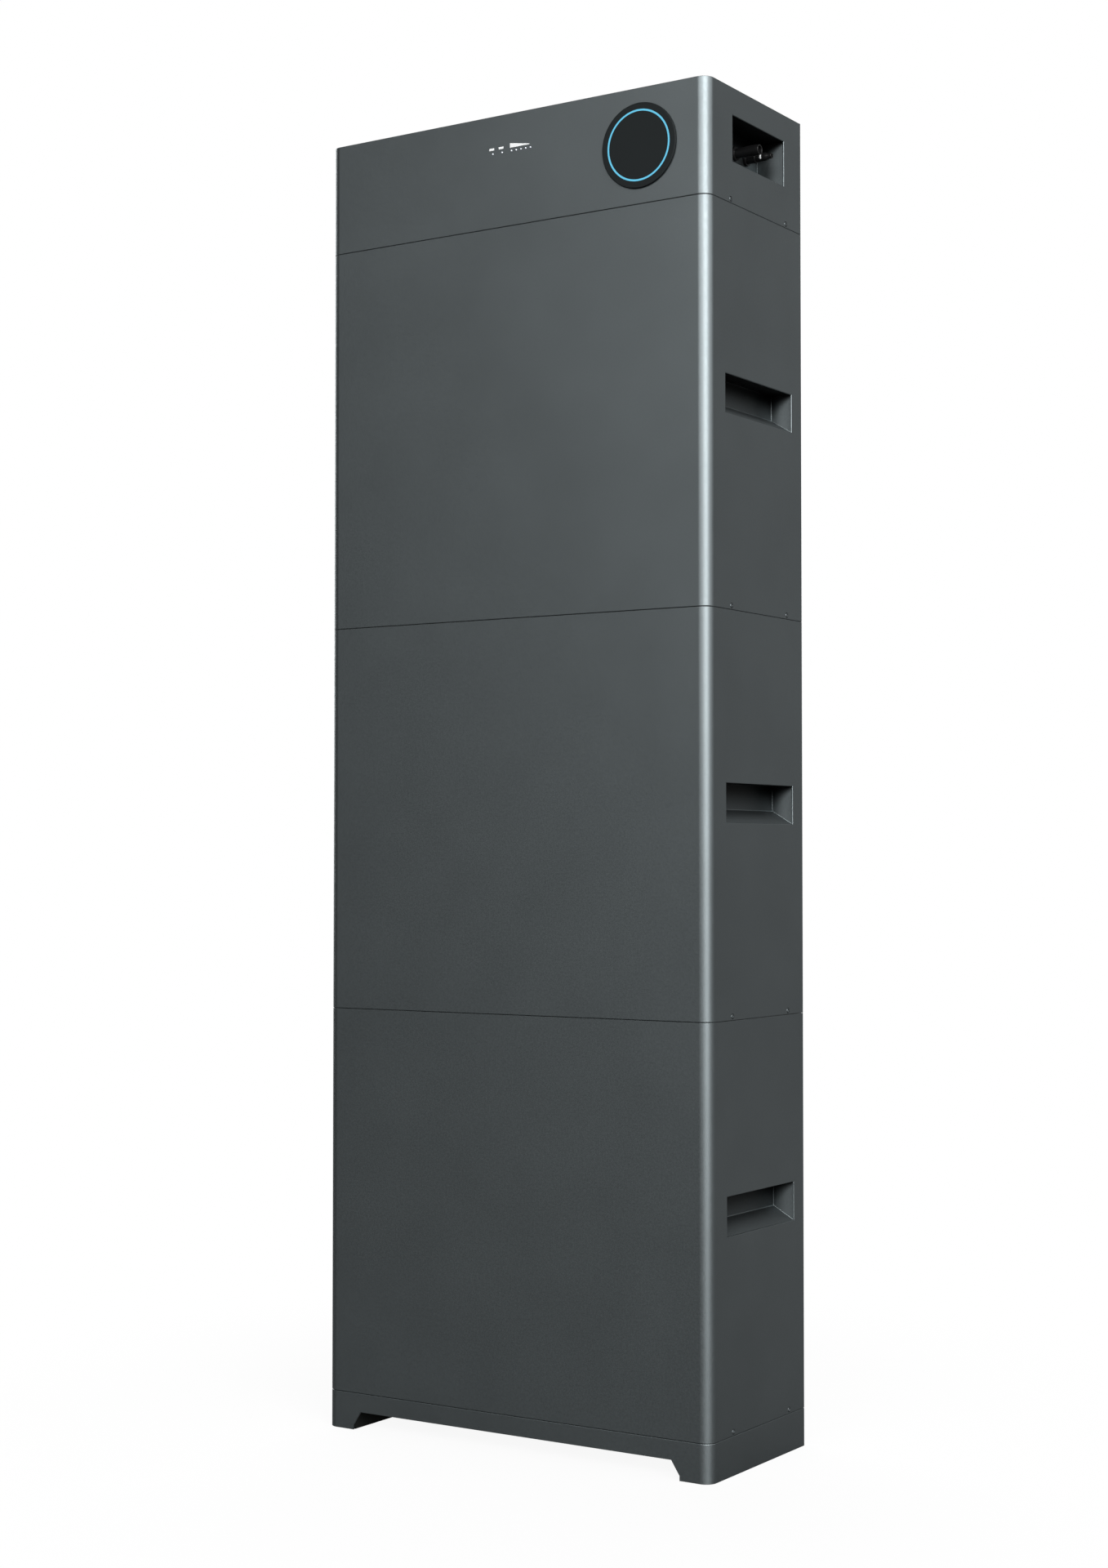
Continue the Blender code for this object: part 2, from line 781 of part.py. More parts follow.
def ring_radii():
    """Inner and outer radius of the ring in the badge."""
    middle = BADGE_DIAMETER / 2 - RING_INSET
    return (middle - RING_WIDTH / 2, middle + RING_WIDTH / 2)


def badge_disc():
    """A round plate on the front, with a groove for the ring."""
    back = FRONT - FIT
    face = back - BADGE_HEIGHT
    radius = BADGE_DIAMETER / 2
    inner, outer = ring_radii()
    floor = face + RING_HEIGHT + FIT
    profile = [
        (back, radius),
        (face + BADGE_BEVEL, radius),
        (face, radius - BADGE_BEVEL),
        (face, outer + FIT),
        (floor, outer + FIT),
        (floor, inner - FIT),
        (face, inner - FIT),
    ]
    return turned("Y", badge_centre(), profile, ROUND_STEPS)


def badge_ring():
    face = FRONT - FIT - BADGE_HEIGHT
    inner, outer = ring_radii()
    profile = [
        (face - RING_PROUD, outer),
        (face + RING_HEIGHT, outer),
        (face + RING_HEIGHT, inner),
        (face - RING_PROUD, inner),
    ]
    return turned("Y", badge_centre(), profile, ROUND_STEPS, closed=True)


def connector_centres():
    """Axes of the socket connector and the pin connector, as places along Y and Z."""
    level = RECESS_MIDDLE + CONNECTOR_RAISE
    middle = SIDE_MIDDLE + CONNECTOR_SHIFT
    return ((middle - CONNECTOR_PITCH / 2, level), (middle + CONNECTOR_PITCH / 2, level))


def connector_recess():
    tray = pocket(recess_opening(), RECESS_DEPTH, 1)
    reach = (RECESS_WALL - 2 * POCKET_WALL, RECESS_WALL + POCKET_WALL)
    radius = SHANK_RADIUS + FIT
    holes = []
    for centre in connector_centres():
        holes.append(turned("X", centre, [(x, radius) for x in reach], CONNECTOR_STEPS))
    return cut(tray, together(holes))


def connector_foot():
    """Profile of the shank behind the recess wall and of the base in front of it."""
    seat = RECESS_WALL + FIT
    return [
        (RECESS_WALL - POCKET_WALL - SHANK_LENGTH, SHANK_RADIUS),
        (seat, SHANK_RADIUS),
        (seat, BASE_RADIUS),
        (seat + BASE_LENGTH, BASE_RADIUS),
    ]


def socket_connector():
    """The connector with an open end, which takes a pin."""
    tip = HALF_WIDTH - TIP_SET
    profile = connector_foot() + [
        (RECESS_WALL + FIT + BASE_LENGTH, SOCKET_RADIUS),
        (tip - SOCKET_BEVEL, SOCKET_RADIUS),
        (tip, SOCKET_RADIUS - SOCKET_BEVEL),
        (tip, SOCKET_BORE),
        (tip - SOCKET_DEPTH, SOCKET_BORE),
    ]
    return turned("X", connector_centres()[0], profile, CONNECTOR_STEPS)


def pin_connector():
    """The connector with a collar and a thinner tip, which enters a socket."""
    tip = HALF_WIDTH - TIP_SET
    collar = RECESS_WALL + COLLAR_PLACE
    profile = connector_foot() + [
        (RECESS_WALL + FIT + BASE_LENGTH, PIN_BODY_RADIUS),
        (collar, PIN_BODY_RADIUS),
        (collar, COLLAR_RADIUS),
        (collar + COLLAR_LENGTH, COLLAR_RADIUS),
        (collar + COLLAR_LENGTH, PIN_NECK_RADIUS),
        (tip - PIN_LENGTH, PIN_NECK_RADIUS),
        (tip - PIN_LENGTH, PIN_RADIUS),
        (tip - SOCKET_BEVEL, PIN_RADIUS),
        (tip, PIN_RADIUS - SOCKET_BEVEL),
    ]
    return turned("X", connector_centres()[1], profile, CONNECTOR_STEPS)


def control_board():
    """The board behind the front wall, on posts."""
    half = BOARD_LENGTH / 2
    low = BOARD_MARGIN
    high = CONTROL_HEIGHT - BOARD_MARGIN
    face = INNER_FRONT + BOARD_GAP
    back = face + BOARD_SHEET
    board = box((-half, face, low), (half, back, high))
    posts = []
    for x in (-half + POST_MARGIN, half - POST_MARGIN):
        for z in (low + POST_MARGIN, high - POST_MARGIN):
            profile = [(INNER_FRONT, POST_RADIUS), (face + JOIN, POST_RADIUS)]
            posts.append(turned("Y", (x, z), profile, STUD_STEPS))
    chips = []
    for x in (-half / 2, 0, half / 2):
        corner = (x - POST_MARGIN, back - JOIN, CONTROL_HEIGHT / 2 - POST_MARGIN)
        opposite = (x + POST_MARGIN, back + CHIP_HEIGHT, CONTROL_HEIGHT / 2 + POST_MARGIN)
        chips.append(box(corner, opposite))
    return fuse(board, together(posts + chips))


def main_contactor():
    """The switch that joins the battery to the connectors, on its foot."""
    low = PAN_HEIGHT + FIT
    middle = (POWER_PLACE, POWER_BACK)
    half_x = CONTACTOR_LENGTH / 2
    half_y = CONTACTOR_WIDTH / 2
    high = low + CONTACTOR_HEIGHT
    rings = [
        flat_ring(middle, half_x + CONTACTOR_FOOT, half_y + CONTACTOR_FOOT, low),
        flat_ring(middle, half_x + CONTACTOR_FOOT, half_y + CONTACTOR_FOOT, low + FOOT_SHEET),
        flat_ring(middle, half_x, half_y, low + FOOT_SHEET),
        flat_ring(middle, half_x, half_y, high),
    ]
    studs = []
    for x in (POWER_PLACE - half_x / 2, POWER_PLACE + half_x / 2):
        profile = [(high - JOIN, STUD_RADIUS), (high + STUD_HEIGHT, STUD_RADIUS)]
        studs.append(turned("Z", (x, POWER_BACK), profile, STUD_STEPS))
    return fuse(loft(rings), together(studs))


def main_fuse():
    """The fuse in its holder: a base, two clips and the cartridge between them."""
    low = PAN_HEIGHT + FIT
    half = FUSE_LENGTH / 2
    front = POWER_BACK - FUSE_WIDTH / 2
    rear = POWER_BACK + FUSE_WIDTH / 2
    left = -POWER_PLACE - half
    right = -POWER_PLACE + half
    clip_top = low + FUSE_CLIP_HEIGHT
    base = box((left, front, low), (right, rear, low + FUSE_CLIP))
    clips = [
        box((left, front, low + JOIN), (left + FUSE_CLIP, rear, clip_top)),
        box((right - FUSE_CLIP, front, low + JOIN), (right, rear, clip_top)),
    ]
    profile = [(left + FUSE_CLIP / 2, FUSE_RADIUS), (right - FUSE_CLIP / 2, FUSE_RADIUS)]
    level = clip_top - FUSE_RADIUS - JOIN
    cartridge = turned("X", (POWER_BACK, level), profile, STUD_STEPS)
    return fuse(fuse(base, together(clips)), cartridge)


# Switches and ports in the left recess


def breaker_middle():
    return SIDE_MIDDLE - RECESS_WIDTH / 2 + SWITCH_MARGIN + BREAKER_WIDTH / 2


def ports_middle():
    return SIDE_MIDDLE + RECESS_WIDTH / 2 - SWITCH_MARGIN - PORT_LENGTH / 2


def button_middle():
    """Half way between the breaker and the ports."""
    breaker_edge = breaker_middle() + BREAKER_WIDTH / 2
    ports_edge = ports_middle() - PORT_LENGTH / 2
    return (breaker_edge + ports_edge) / 2


def around(middle, length, height):
    """A rectangle in the recess wall at the recess's middle height, as front, rear, low and high."""
    low = RECESS_MIDDLE - height / 2
    return (middle - length / 2, middle + length / 2, low, low + height)


def breaker_nose():
    return around(breaker_middle(), BREAKER_WIDTH - 2 * BREAKER_SHOULDER, BREAKER_NOSE)


def switch_recess():
    tray = pocket(recess_opening(), RECESS_DEPTH, -1)
    near = -RECESS_WALL - POCKET_WALL
    far = -RECESS_WALL + 2 * POCKET_WALL
    ports = around(ports_middle(), PORT_LENGTH, PORT_HEIGHT)
    windows = [loft([side_ring(x, hole, FIT) for x in (near, far)]) for hole in (breaker_nose(), ports)]
    centre = (button_middle(), RECESS_MIDDLE)
    profile = [(near, BUTTON_BARREL + FIT), (far, BUTTON_BARREL + FIT)]
    windows.append(turned("X", centre, profile, CONNECTOR_STEPS))
    return cut(tray, together(windows))


def lever_pivot():
    """A point on the lever's axis, at the middle of its hub."""
    return (-RECESS_WALL - NOSE_OUT - HUB_PROUD + LEVER_HUB, breaker_middle(), RECESS_MIDDLE)


def breaker_body():
    """The breaker, with its body behind the recess wall and its nose, slotted for the lever, through it."""
    seat = -RECESS_WALL + POCKET_WALL + FIT
    nose = breaker_nose()
    whole = around(breaker_middle(), BREAKER_WIDTH, BREAKER_HEIGHT)
    face = -RECESS_WALL - NOSE_OUT
    rings = [
        side_ring(seat + BREAKER_DEPTH, whole),
        side_ring(seat, whole),
        side_ring(seat, nose),
        side_ring(face, nose),
    ]
    pivot = lever_pivot()
    slot = around(breaker_middle(), LEVER_WIDTH + 2 * LEVER_CLEARANCE, LEVER_SLOT)
    slot_back = pivot[0] + LEVER_HUB + LEVER_CLEARANCE
    slotted = cut(loft(rings), loft([side_ring(face - NOSE_OUT, slot), side_ring(slot_back, slot)]))
    reach = LEVER_WIDTH / 2 + AXLE_LENGTH + 2 * LEVER_CLEARANCE
    radius = AXLE_RADIUS + AXLE_CLEARANCE
    profile = [(pivot[1] - reach, radius), (pivot[1] + reach, radius)]
    return cut(slotted, turned("Y", (pivot[0], pivot[2]), profile, STUD_STEPS))


def breaker_lever():
    """The lever about its own axis: a hub with stub axles, and an arm that points out and down at rest."""
    half = LEVER_WIDTH / 2
    end = half + AXLE_LENGTH
    profile = [
        (-end, AXLE_RADIUS),
        (-half, AXLE_RADIUS),
        (-half, LEVER_HUB),
        (half, LEVER_HUB),
        (half, AXLE_RADIUS),
        (end, AXLE_RADIUS),
    ]
    hub = turned("Y", (0, 0), profile, CONNECTOR_STEPS)
    angle = math.radians(180 + LEVER_REST)
    rings = []
    for along, thickness in ((LEVER_HUB / 2, LEVER_ROOT), (LEVER_REACH, LEVER_TIP)):
        ring = []
        for width, across in ((-1, -1), (1, -1), (1, 1), (-1, 1)):
            offset = across * thickness / 2
            x = along * math.cos(angle) - offset * math.sin(angle)
            z = along * math.sin(angle) + offset * math.cos(angle)
            ring.append((x, width * (half - LEVER_CLEARANCE), z))
        rings.append(ring)
    return fuse(hub, loft(rings))


def button_seat():
    """Outer face of the button body's flange."""
    return -RECESS_WALL - FIT - BUTTON_FLANGE_SHEET


def power_button_body():
    """A round body clamped in the recess wall, bored for the button."""
    face = button_seat()
    bore = BUTTON_RADIUS + BUTTON_CLEARANCE
    profile = [
        (-RECESS_WALL + BUTTON_BACK, BUTTON_BARREL),
        (-RECESS_WALL - FIT, BUTTON_BARREL),
        (-RECESS_WALL - FIT, BUTTON_FLANGE),
        (face, BUTTON_FLANGE),
        (face, bore),
        (face + BUTTON_BORE, bore),
    ]
    return turned("X", (button_middle(), RECESS_MIDDLE), profile, CONNECTOR_STEPS)


def power_button():
    """The button about a point on its axis at the flange's face, with a rounded front edge."""
    profile = [
        (BUTTON_LENGTH - BUTTON_PROUD, BUTTON_RADIUS),
        (-BUTTON_PROUD + BUTTON_CROWN, BUTTON_RADIUS),
        (-BUTTON_PROUD, BUTTON_RADIUS - BUTTON_CROWN),
    ]
    return turned("X", (0, 0), profile, CONNECTOR_STEPS)


def data_ports():
    """A block with two open ports, flanged on the recess wall."""
    outline = around(ports_middle(), PORT_LENGTH, PORT_HEIGHT)
    seat = -RECESS_WALL - FIT
    face = seat - PORT_SHEET
    rings = [
        side_ring(-RECESS_WALL + PORT_BACK, outline),
        side_ring(seat, outline),
        side_ring(seat, outline, PORT_FLANGE),
        side_ring(face, outline, PORT_FLANGE),
    ]
    mouths = []
    for shift in (-PORT_PITCH / 2, PORT_PITCH / 2):
        mouth = around(ports_middle() + shift, PORT_MOUTH_LENGTH, PORT_MOUTH_HEIGHT)
        mouths.append(loft([side_ring(face - PORT_SHEET, mouth), side_ring(face + PORT_MOUTH_DEPTH, mouth)]))
    return cut(loft(rings), together(mouths))


# Assembly


def unit_frame(name, z):
    """An empty at the middle of a unit's bottom, which carries the unit's pieces."""
    frame = bpy.data.objects.new(name, None)
    frame.location = (0, 0, z)
    bpy.context.collection.objects.link(frame)
    return frame


def mesh_of(name, shape, look):
    mesh = bpy.data.meshes.new(name)
    shape.to_mesh(mesh)
    shape.free()
    mesh.materials.append(look)
    mesh.shade_smooth()
    mesh.set_sharp_from_angle(angle=SMOOTH_ANGLE)
    return mesh


def put(name, mesh, unit, place=(0, 0, 0)):
    piece = bpy.data.objects.new(name, mesh)
    piece.parent = unit
    piece.location = place
    bpy.context.collection.objects.link(piece)


def build_plinth(looks):
    unit = unit_frame("plinth", 0)
    pieces = {
        "plinth_skirt": (plinth_skirt(), "case"),
        "plinth_deck": (top_deck(BASE_HEIGHT), "plate"),
        "left_foot_channel": (foot_channel(-1), "case"),
        "right_foot_channel": (foot_channel(1), "case"),
    }
    for name, (shape, look) in pieces.items():
        put(name, mesh_of(name, shape, looks[look]), unit)


def build_modules(looks):
    """Three equal modules, which share their meshes."""
    pieces = {
        "case": (module_case(), "case"),
        "rear_cover": (rear_cover(SEAM / 2, MODULE_HEIGHT - SEAM / 2), "case"),
        "top_deck": (module_deck(), "plate"),
        "bottom_pan": (bottom_pan(), "plate"),
        "left_handle": (handle_pocket(-1), "pocket"),
        "right_handle": (handle_pocket(1), "pocket"),
        "left_cells": (cell_block(-1), "cells"),
        "right_cells": (cell_block(1), "cells"),
        "busbar_panel": (busbar_panel(), "busbar"),
        "monitor_board": (monitor_board(), "board"),
        "stack_plug": (stack_plug(), "black"),
        "stack_socket": (stack_socket(), "black"),
    }
    meshes = {name: mesh_of(name, shape, looks[look]) for name, (shape, look) in pieces.items()}
    for level, module in enumerate(MODULE_NAMES):
        unit = unit_frame(module + "_module", BASE_HEIGHT + level * MODULE_HEIGHT)
        for name, mesh in meshes.items():
            put(module + "_" + name, mesh, unit)


def build_control_unit(looks):
    unit = unit_frame("control_unit", BASE_HEIGHT + len(MODULE_NAMES) * MODULE_HEIGHT)
    lid = turned_down_plate(INNER_SIDE, CONTROL_HEIGHT - DECK_RIM, CONTROL_HEIGHT)
    pieces = {
        "control_case": (control_case(), "case"),
        "control_rear_cover": (rear_cover(SEAM / 2, CONTROL_HEIGHT), "case"),
        "control_lid": (lid, "case"),
        "control_bottom_pan": (bottom_pan(), "plate"),
        "control_stack_socket": (stack_socket(), "black"),
        "connector_recess": (connector_recess(), "pocket"),
        "switch_recess": (switch_recess(), "pocket"),
        "socket_connector": (socket_connector(), "black"),
        "pin_connector": (pin_connector(), "black"),
        "badge_disc": (badge_disc(), "badge"),
        "badge_ring": (badge_ring(), "ring"),
        "light_guide": (light_guide(), "lens"),
        "control_board": (control_board(), "board"),
        "main_contactor": (main_contactor(), "black"),
        "main_fuse": (main_fuse(), "grey"),
        "breaker_body": (breaker_body(), "grey"),
        "power_button_body": (power_button_body(), "black"),
        "data_ports": (data_ports(), "black"),
    }
    for name, (shape, look) in pieces.items():
        put(name, mesh_of(name, shape, looks[look]), unit)
    lever = mesh_of("breaker_lever", breaker_lever(), looks["black"])
    put("breaker_lever", lever, unit, lever_pivot())
    button = mesh_of("power_button", power_button(), looks["button"])
    put("power_button", button, unit, (button_seat(), button_middle(), RECESS_MIDDLE))


def main():
    clear_scene()
    looks = all_finishes()
    build_plinth(looks)
    build_modules(looks)
    build_control_unit(looks)


main()
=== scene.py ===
"""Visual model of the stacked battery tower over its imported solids, with a studio and a camera."""

import json
import math

import bmesh
import bpy
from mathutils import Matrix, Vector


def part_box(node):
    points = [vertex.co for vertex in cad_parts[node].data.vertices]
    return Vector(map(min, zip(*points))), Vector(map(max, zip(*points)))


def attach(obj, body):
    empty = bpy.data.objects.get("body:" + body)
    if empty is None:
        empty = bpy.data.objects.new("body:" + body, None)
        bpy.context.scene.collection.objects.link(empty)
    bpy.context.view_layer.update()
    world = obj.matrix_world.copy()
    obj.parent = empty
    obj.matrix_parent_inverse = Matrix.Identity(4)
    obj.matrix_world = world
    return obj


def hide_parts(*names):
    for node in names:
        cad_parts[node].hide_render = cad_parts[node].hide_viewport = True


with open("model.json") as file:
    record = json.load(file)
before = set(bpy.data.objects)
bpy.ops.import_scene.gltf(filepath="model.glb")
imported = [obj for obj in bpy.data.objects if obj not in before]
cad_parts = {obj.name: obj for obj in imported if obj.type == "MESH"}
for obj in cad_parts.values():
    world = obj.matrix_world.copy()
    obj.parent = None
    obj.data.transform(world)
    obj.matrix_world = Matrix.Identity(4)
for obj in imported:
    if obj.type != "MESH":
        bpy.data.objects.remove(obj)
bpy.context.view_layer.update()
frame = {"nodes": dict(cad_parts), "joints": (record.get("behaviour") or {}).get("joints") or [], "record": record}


def extent(node):
    """Low and high corner of a solid, to a thousandth of a millimetre."""
    return [[round(value, 6) for value in corner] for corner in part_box(node)]


def middle_of(node, axes):
    """Middle of a solid along each of the named axes."""
    low, high = extent(node)
    places = ["XYZ".index(axis) for axis in axes]
    return tuple(round((low[place] + high[place]) / 2, 6) for place in places)


# Sizes of the case, in metres
CASE_LOW, CASE_HIGH = extent("lower_case")
HALF_WIDTH = CASE_HIGH[0]
FRONT = CASE_LOW[1]
REAR = CASE_HIGH[1]
CORNER_RADIUS = 0.0156
REAR_RADIUS = 0.002
CASE_WALL = 0.002
RETURN_WIDTH = 0.007
REAR_FLANGE = 0.014
COVER_STEP = 0.0021
SIDE_MIDDLE = CORNER_RADIUS / 2
FIT = 0.0003
INNER_SIDE = HALF_WIDTH - CASE_WALL - FIT
INNER_FRONT = FRONT + CASE_WALL + FIT
INNER_REAR = REAR - COVER_STEP - CASE_WALL - FIT
INNER_RADIUS = CORNER_RADIUS - CASE_WALL - FIT
MODULES = ("lower", "middle", "upper")

# Plans of plinth and lid: half width, front, rear, radius of the front corners and of the rear ones
PLINTH_PLAN = (HALF_WIDTH, FRONT, REAR, CORNER_RADIUS, REAR_RADIUS)
LID_REAR_RADIUS = 0.004
LID_PLAN = (INNER_SIDE, INNER_FRONT, INNER_REAR, INNER_RADIUS, LID_REAR_RADIUS)
LEAST_RADIUS = 0.001

# Plinth and its cut-out
PLINTH_HEIGHT = 0.050
ARCH_HEIGHT = 0.0245
ARCH_SHOULDER = 0.0063
ARCH_FLOOR = 0.2555
ARCH_TOP = 0.2435
ARCH_SHARE = 0.4

# Hand pockets and recesses
HANDLE_HALF = 0.090
HANDLE_DEPTH = 0.029
HANDLE_DRAFT = 0.003
HANDLE_SLOPE = 0.017
POCKET_WALL = 0.002
POCKET_FLANGE = 0.008
RECESS_HALF = 0.070
RECESS_DEPTH = 0.040
RECESS_HEIGHT = 0.060
RECESS_MIDDLE = middle_of("connector_recess", "Z")[0]
RECESS_WALL = HALF_WIDTH - RECESS_DEPTH

# Rounding of the cases' edges, and of pockets near their ends and floors
LOWER_ROUND = 0.0010
UPPER_ROUND = 0.0005
HANDLE_RIM = 0.0012
RECESS_RIM = 0.0009
HANDLE_ROUND = 0.0008
RECESS_ROUND = 0.0005
END_REACH = 0.0045
FLOOR_REACH = 0.018
UPRIGHT_SHARE = 0.45
SHARP_TURN = math.radians(35)

# Steps round corners, edges and turned shapes
CORNER_STEPS = 24
REAR_STEPS = 4
ROUND_STEPS = 6
SMALL_STEPS = 24
HOLE_STEPS = 32
HUB_STEPS = 48
CONNECTOR_STEPS = 64
BADGE_STEPS = 144

# How far cutters stand out, and how close points count as in line or touching
CLEAR = 0.010
SMALL_CLEAR = 0.001
NEAR = 1e-4
TOUCH = 1e-5

# Screws. The heads' profiles are rises and reaches as shares of their radius
SIDE_SCREW_PLACES = (-0.0675, 0.0825)
SIDE_SCREW_RAISE = 0.0050
SIDE_SCREW_RADIUS = 0.0031
SIDE_SCREW_SINK = 0.0005
SEAT_RADIUS = 0.0036
SEAT_DEPTH = 0.0012
REAR_SCREW_PLACE = 0.286
REAR_SCREW_RADIUS = 0.003
REAR_SCREW_PITCH = 0.12
REAR_SCREW_END = 0.02
SCREW_DOME = ((-0.05, 1.0), (0.08, 1.0), (0.18, 0.93), (0.26, 0.80), (0.30, 0.66))
SCREW_SOCKET = ((0.31, 0.50), (0.04, 0.46))

# Indicator lights and the marks over them. The lens has places from the front and shares of its radius
LIGHT_MIDDLE, LIGHT_LEVEL = middle_of("light_guide", "XZ")
LIGHT_PITCH = 0.0075
LIGHT_PLACES = [LIGHT_MIDDLE + LIGHT_PITCH * step for step in (-4, -2, 0, 1, 2, 3, 4)]
LIGHT_HOLE = 0.0015
LENS_RADIUS = 0.0010
LENS_DOME = ((0.003, 1.0), (-0.0003, 1.0), (-0.0006, 0.85), (-0.0008, 0.5))
WELL_SINK = 0.0002
PRINT_SINK = 0.00005
PRINT_RISE = 0.0001
MARK_BASE = 1.7140
BAR_LEFTS = (-0.0332, -0.0181)
BAR_RAISE = 0.0006
BAR_WIDTH = 0.0077
BAR_HEIGHT = 0.0030
WEDGE_WIDTH = 0.031
WEDGE_RISE = 0.0001
WEDGE_TIP = 0.0010
WEDGE_HEIGHT = 0.0062

# Badge and its ring
BADGE_CENTRE = middle_of("badge_disc", "XZ")
BADGE_FACE = extent("badge_disc")[0][1]
BADGE_RADIUS = 0.055
BADGE_STAND = 0.0008
BADGE_LIP = 0.0015
RING_MIDDLE = 0.045
RING_WIDTH = 0.0024
RING_DEPTH = 0.0012
RING_RISE = 0.0001
GROOVE_SHARE = 0.1

# Connectors, with places along X, radii, and axes as places along Y and Z
TIP = extent("pin_connector")[1][0]
SHANK = 0.006
SHANK_LENGTH = 0.012
FLANGE_FACE = RECESS_WALL + 0.0033

# The open connector, raised a little over its solid, with its band, ribs and contact
SOCKET_RAISE = 0.0009
SOCKET_Y, SOCKET_Z = middle_of("socket_connector", "YZ")
SOCKET_AXIS = (SOCKET_Y, SOCKET_Z + SOCKET_RAISE)
SOCKET_FLANGE = 0.0090
SOCKET_RADIUS = 0.0066
BAND_START = 0.2900
BAND_SLOPE = 0.0008
BAND_RADIUS = 0.0069
MOUTH = TIP - 0.0015
MOUTH_EDGE = 0.0006
MOUTH_OUTER = 0.0065
MOUTH_INNER = 0.0054
MOUTH_FUNNEL = 0.0008
SOCKET_BORE = 0.0049
SOCKET_FLOOR = TIP - 0.018
RIB_START = 0.276
RIB_END = 0.292
RIB_HALF = 0.001
RIB_ROOT = 0.006
RIB_REACH = 0.0074
CONTACT_RADIUS = 0.0026
CONTACT_END = TIP - 0.007
CONTACT_EDGE = 0.0008

# The connector with a collar, a thinner tip and a white clip whose section has places and radii. The clip's white
# is a painted highlight
PIN_AXIS = middle_of("pin_connector", "YZ")
PIN_FLANGE = 0.0085
PIN_RADIUS = 0.0060
COLLAR_START = 0.2745
COLLAR_END = 0.2765
COLLAR_RADIUS = 0.0067
NOSE_END = 0.2900
NOSE_RADIUS = 0.0054
NECK_PLACE = 0.2930
NECK_RADIUS = 0.0042
TIP_START = 0.2960
TIP_RADIUS = 0.0036
TIP_EDGE = 0.0003
TIP_BORE = 0.0025
TIP_DEPTH = 0.005
CLIP_LOW = (0.2836, 0.0050)
CLIP_HIGH = (0.2859, 0.0057)
CLIP_ANGLE = 144
CLIP_SWEEP = 72
CLIP_STEPS = 12

# Breaker and its lever. Pairs are lengths and heights, or distances from the lever's axis and thicknesses
JOINTS = {joint["name"]: joint for joint in frame["joints"]}
PIVOT_X, BREAKER_MIDDLE, PIVOT_Z = JOINTS["breaker_lever_turn"]["pos_m"]
BREAKER_BODY = (0.036, 0.080)
BREAKER_NOSE = (0.034, 0.044)
BREAKER_SLOT = (0.0118, 0.026)
BREAKER_DEPTH = 0.050
BREAKER_RISE = 0.012
SLOT_DEPTH = 0.0069
BREAKER_GROOVE = 0.0006
BREAKER_GROOVE_PLACE = 0.0165
LEVER_ANGLE = math.radians(220)
LEVER_HALF = 0.0055
HUB_RADIUS = 0.0065
ARM_HALF = LEVER_HALF - 0.0004
ARM_ROOT = ((0.003, 0.0060), (0.0085, 0.0052))
ARM_END = (0.0160, 0.0042)
RIDGE_PLACES = (0.0092, 0.0112, 0.0132)
RIDGE = ((0.0, 0.0056), (0.0007, 0.0056), (0.0010, 0.0046), (0.0016, 0.0046))

# Button. The profiles of its cap are rises out of the bezel's face and radii
SWITCH_FACE = -RECESS_WALL - 0.0023
BUTTON_CENTRE = middle_of("power_button", "YZ")
BEZEL_SHANK = 0.0080
BEZEL_DEPTH = 0.028
BEZEL_RADIUS = 0.0100
BEZEL_GROOVE = (0.0083, 0.0078)
BEZEL_GROOVE_DEPTH = 0.0004
BUTTON_BORE = 0.0063
BUTTON_BORE_DEPTH = 0.016
CAP_SIDE = ((-0.007, 0.0060), (0.0022, 0.0060), (0.003, 0.0052))
CAP_HOLLOW = ((0.003, 0.0043), (0.0027, 0.0036), (0.0025, 0.0020))

# Data ports
PORTS_MIDDLE = middle_of("data_ports", "Y")[0]
PORTS_BLOCK = (0.030, 0.016)
PORTS_DEPTH = 0.026
PORTS_FLANGE = 0.002
PORT_OFFSET = 0.00725
PORT_MOUTH = (0.0117, 0.0084)
PORT_DEPTH = 0.014
NOTCH_HALF = 0.003
NOTCH_HEIGHT = 0.0016
NOTCH_LAP = 0.001
NOTCH_DEPTH = 0.010
LEAF_COUNT = 8
LEAF_PITCH = 0.00102
LEAF_HALF = 0.0003
LEAF_HEIGHT = 0.0005
LEAF_GAP = 0.0004
LEAF_SINK = 0.0015

# Colours of the coat, and how materials wander
ANTHRACITE = (115, 122, 124)
POCKET_TONE = (112, 119, 121)
NOISE_RANGE = (0.3, 0.7)
DRIFT_SIZE = 0.12
ROUGHNESS_SPREAD = 0.03
ROUGHNESS_GRAINS = 3

# Coat in the pockets: its roughness by depth, and the shade painted into its colour from the upper rim to the back
ROUGH_DEPTHS = (0.002, 0.026)
ROUGH_LEVELS = (0.8, 0.45)
SHADE_HEIGHT = 0.070
SHADE_TOP = 0.062
SHADE_MARGIN = 0.004
SHADE_START = 0.15
SHADE_LEAST = 0.05

# Studio: panels by azimuth, elevation and brightness. Azimuth 0 is in front and 90 to the right
WORLD_LEVEL = 0.015
BACKGROUND_SHARE = 0.03
BEHIND_SHARE = 0.09
BEHIND_REACH = (0.0, 1.0)
FLOOR_HALF = 12.0
FLOOR_GREYS = (0.1, 0.9)
FADE_REACH = (0.4, 1.2)
FADE_SHARES = (0.92, 1.0)
LIGHT_DISTANCE = 12.0
LIGHT_AIM = 0.9
PANELS = {
    "front_key": ((-12, 30), (12, 35), 5.4),
    "main_key": ((30, 70), (12, 35), 10.8),
    "low_key": ((30, 70), (-3, 12), 4.3),
    "side_fill": ((70, 118), (12, 35), 2.7),
    "right_rear_fill": ((142, 170), (-3, 35), 0.35),
    "left_front_fill": ((-37, -12), (0, 35), 0.32),
    "left_fill": ((-150, -95), (0, 35), 3.5),
    "back_fill": ((181, 210), (0, 35), 3.5),
}

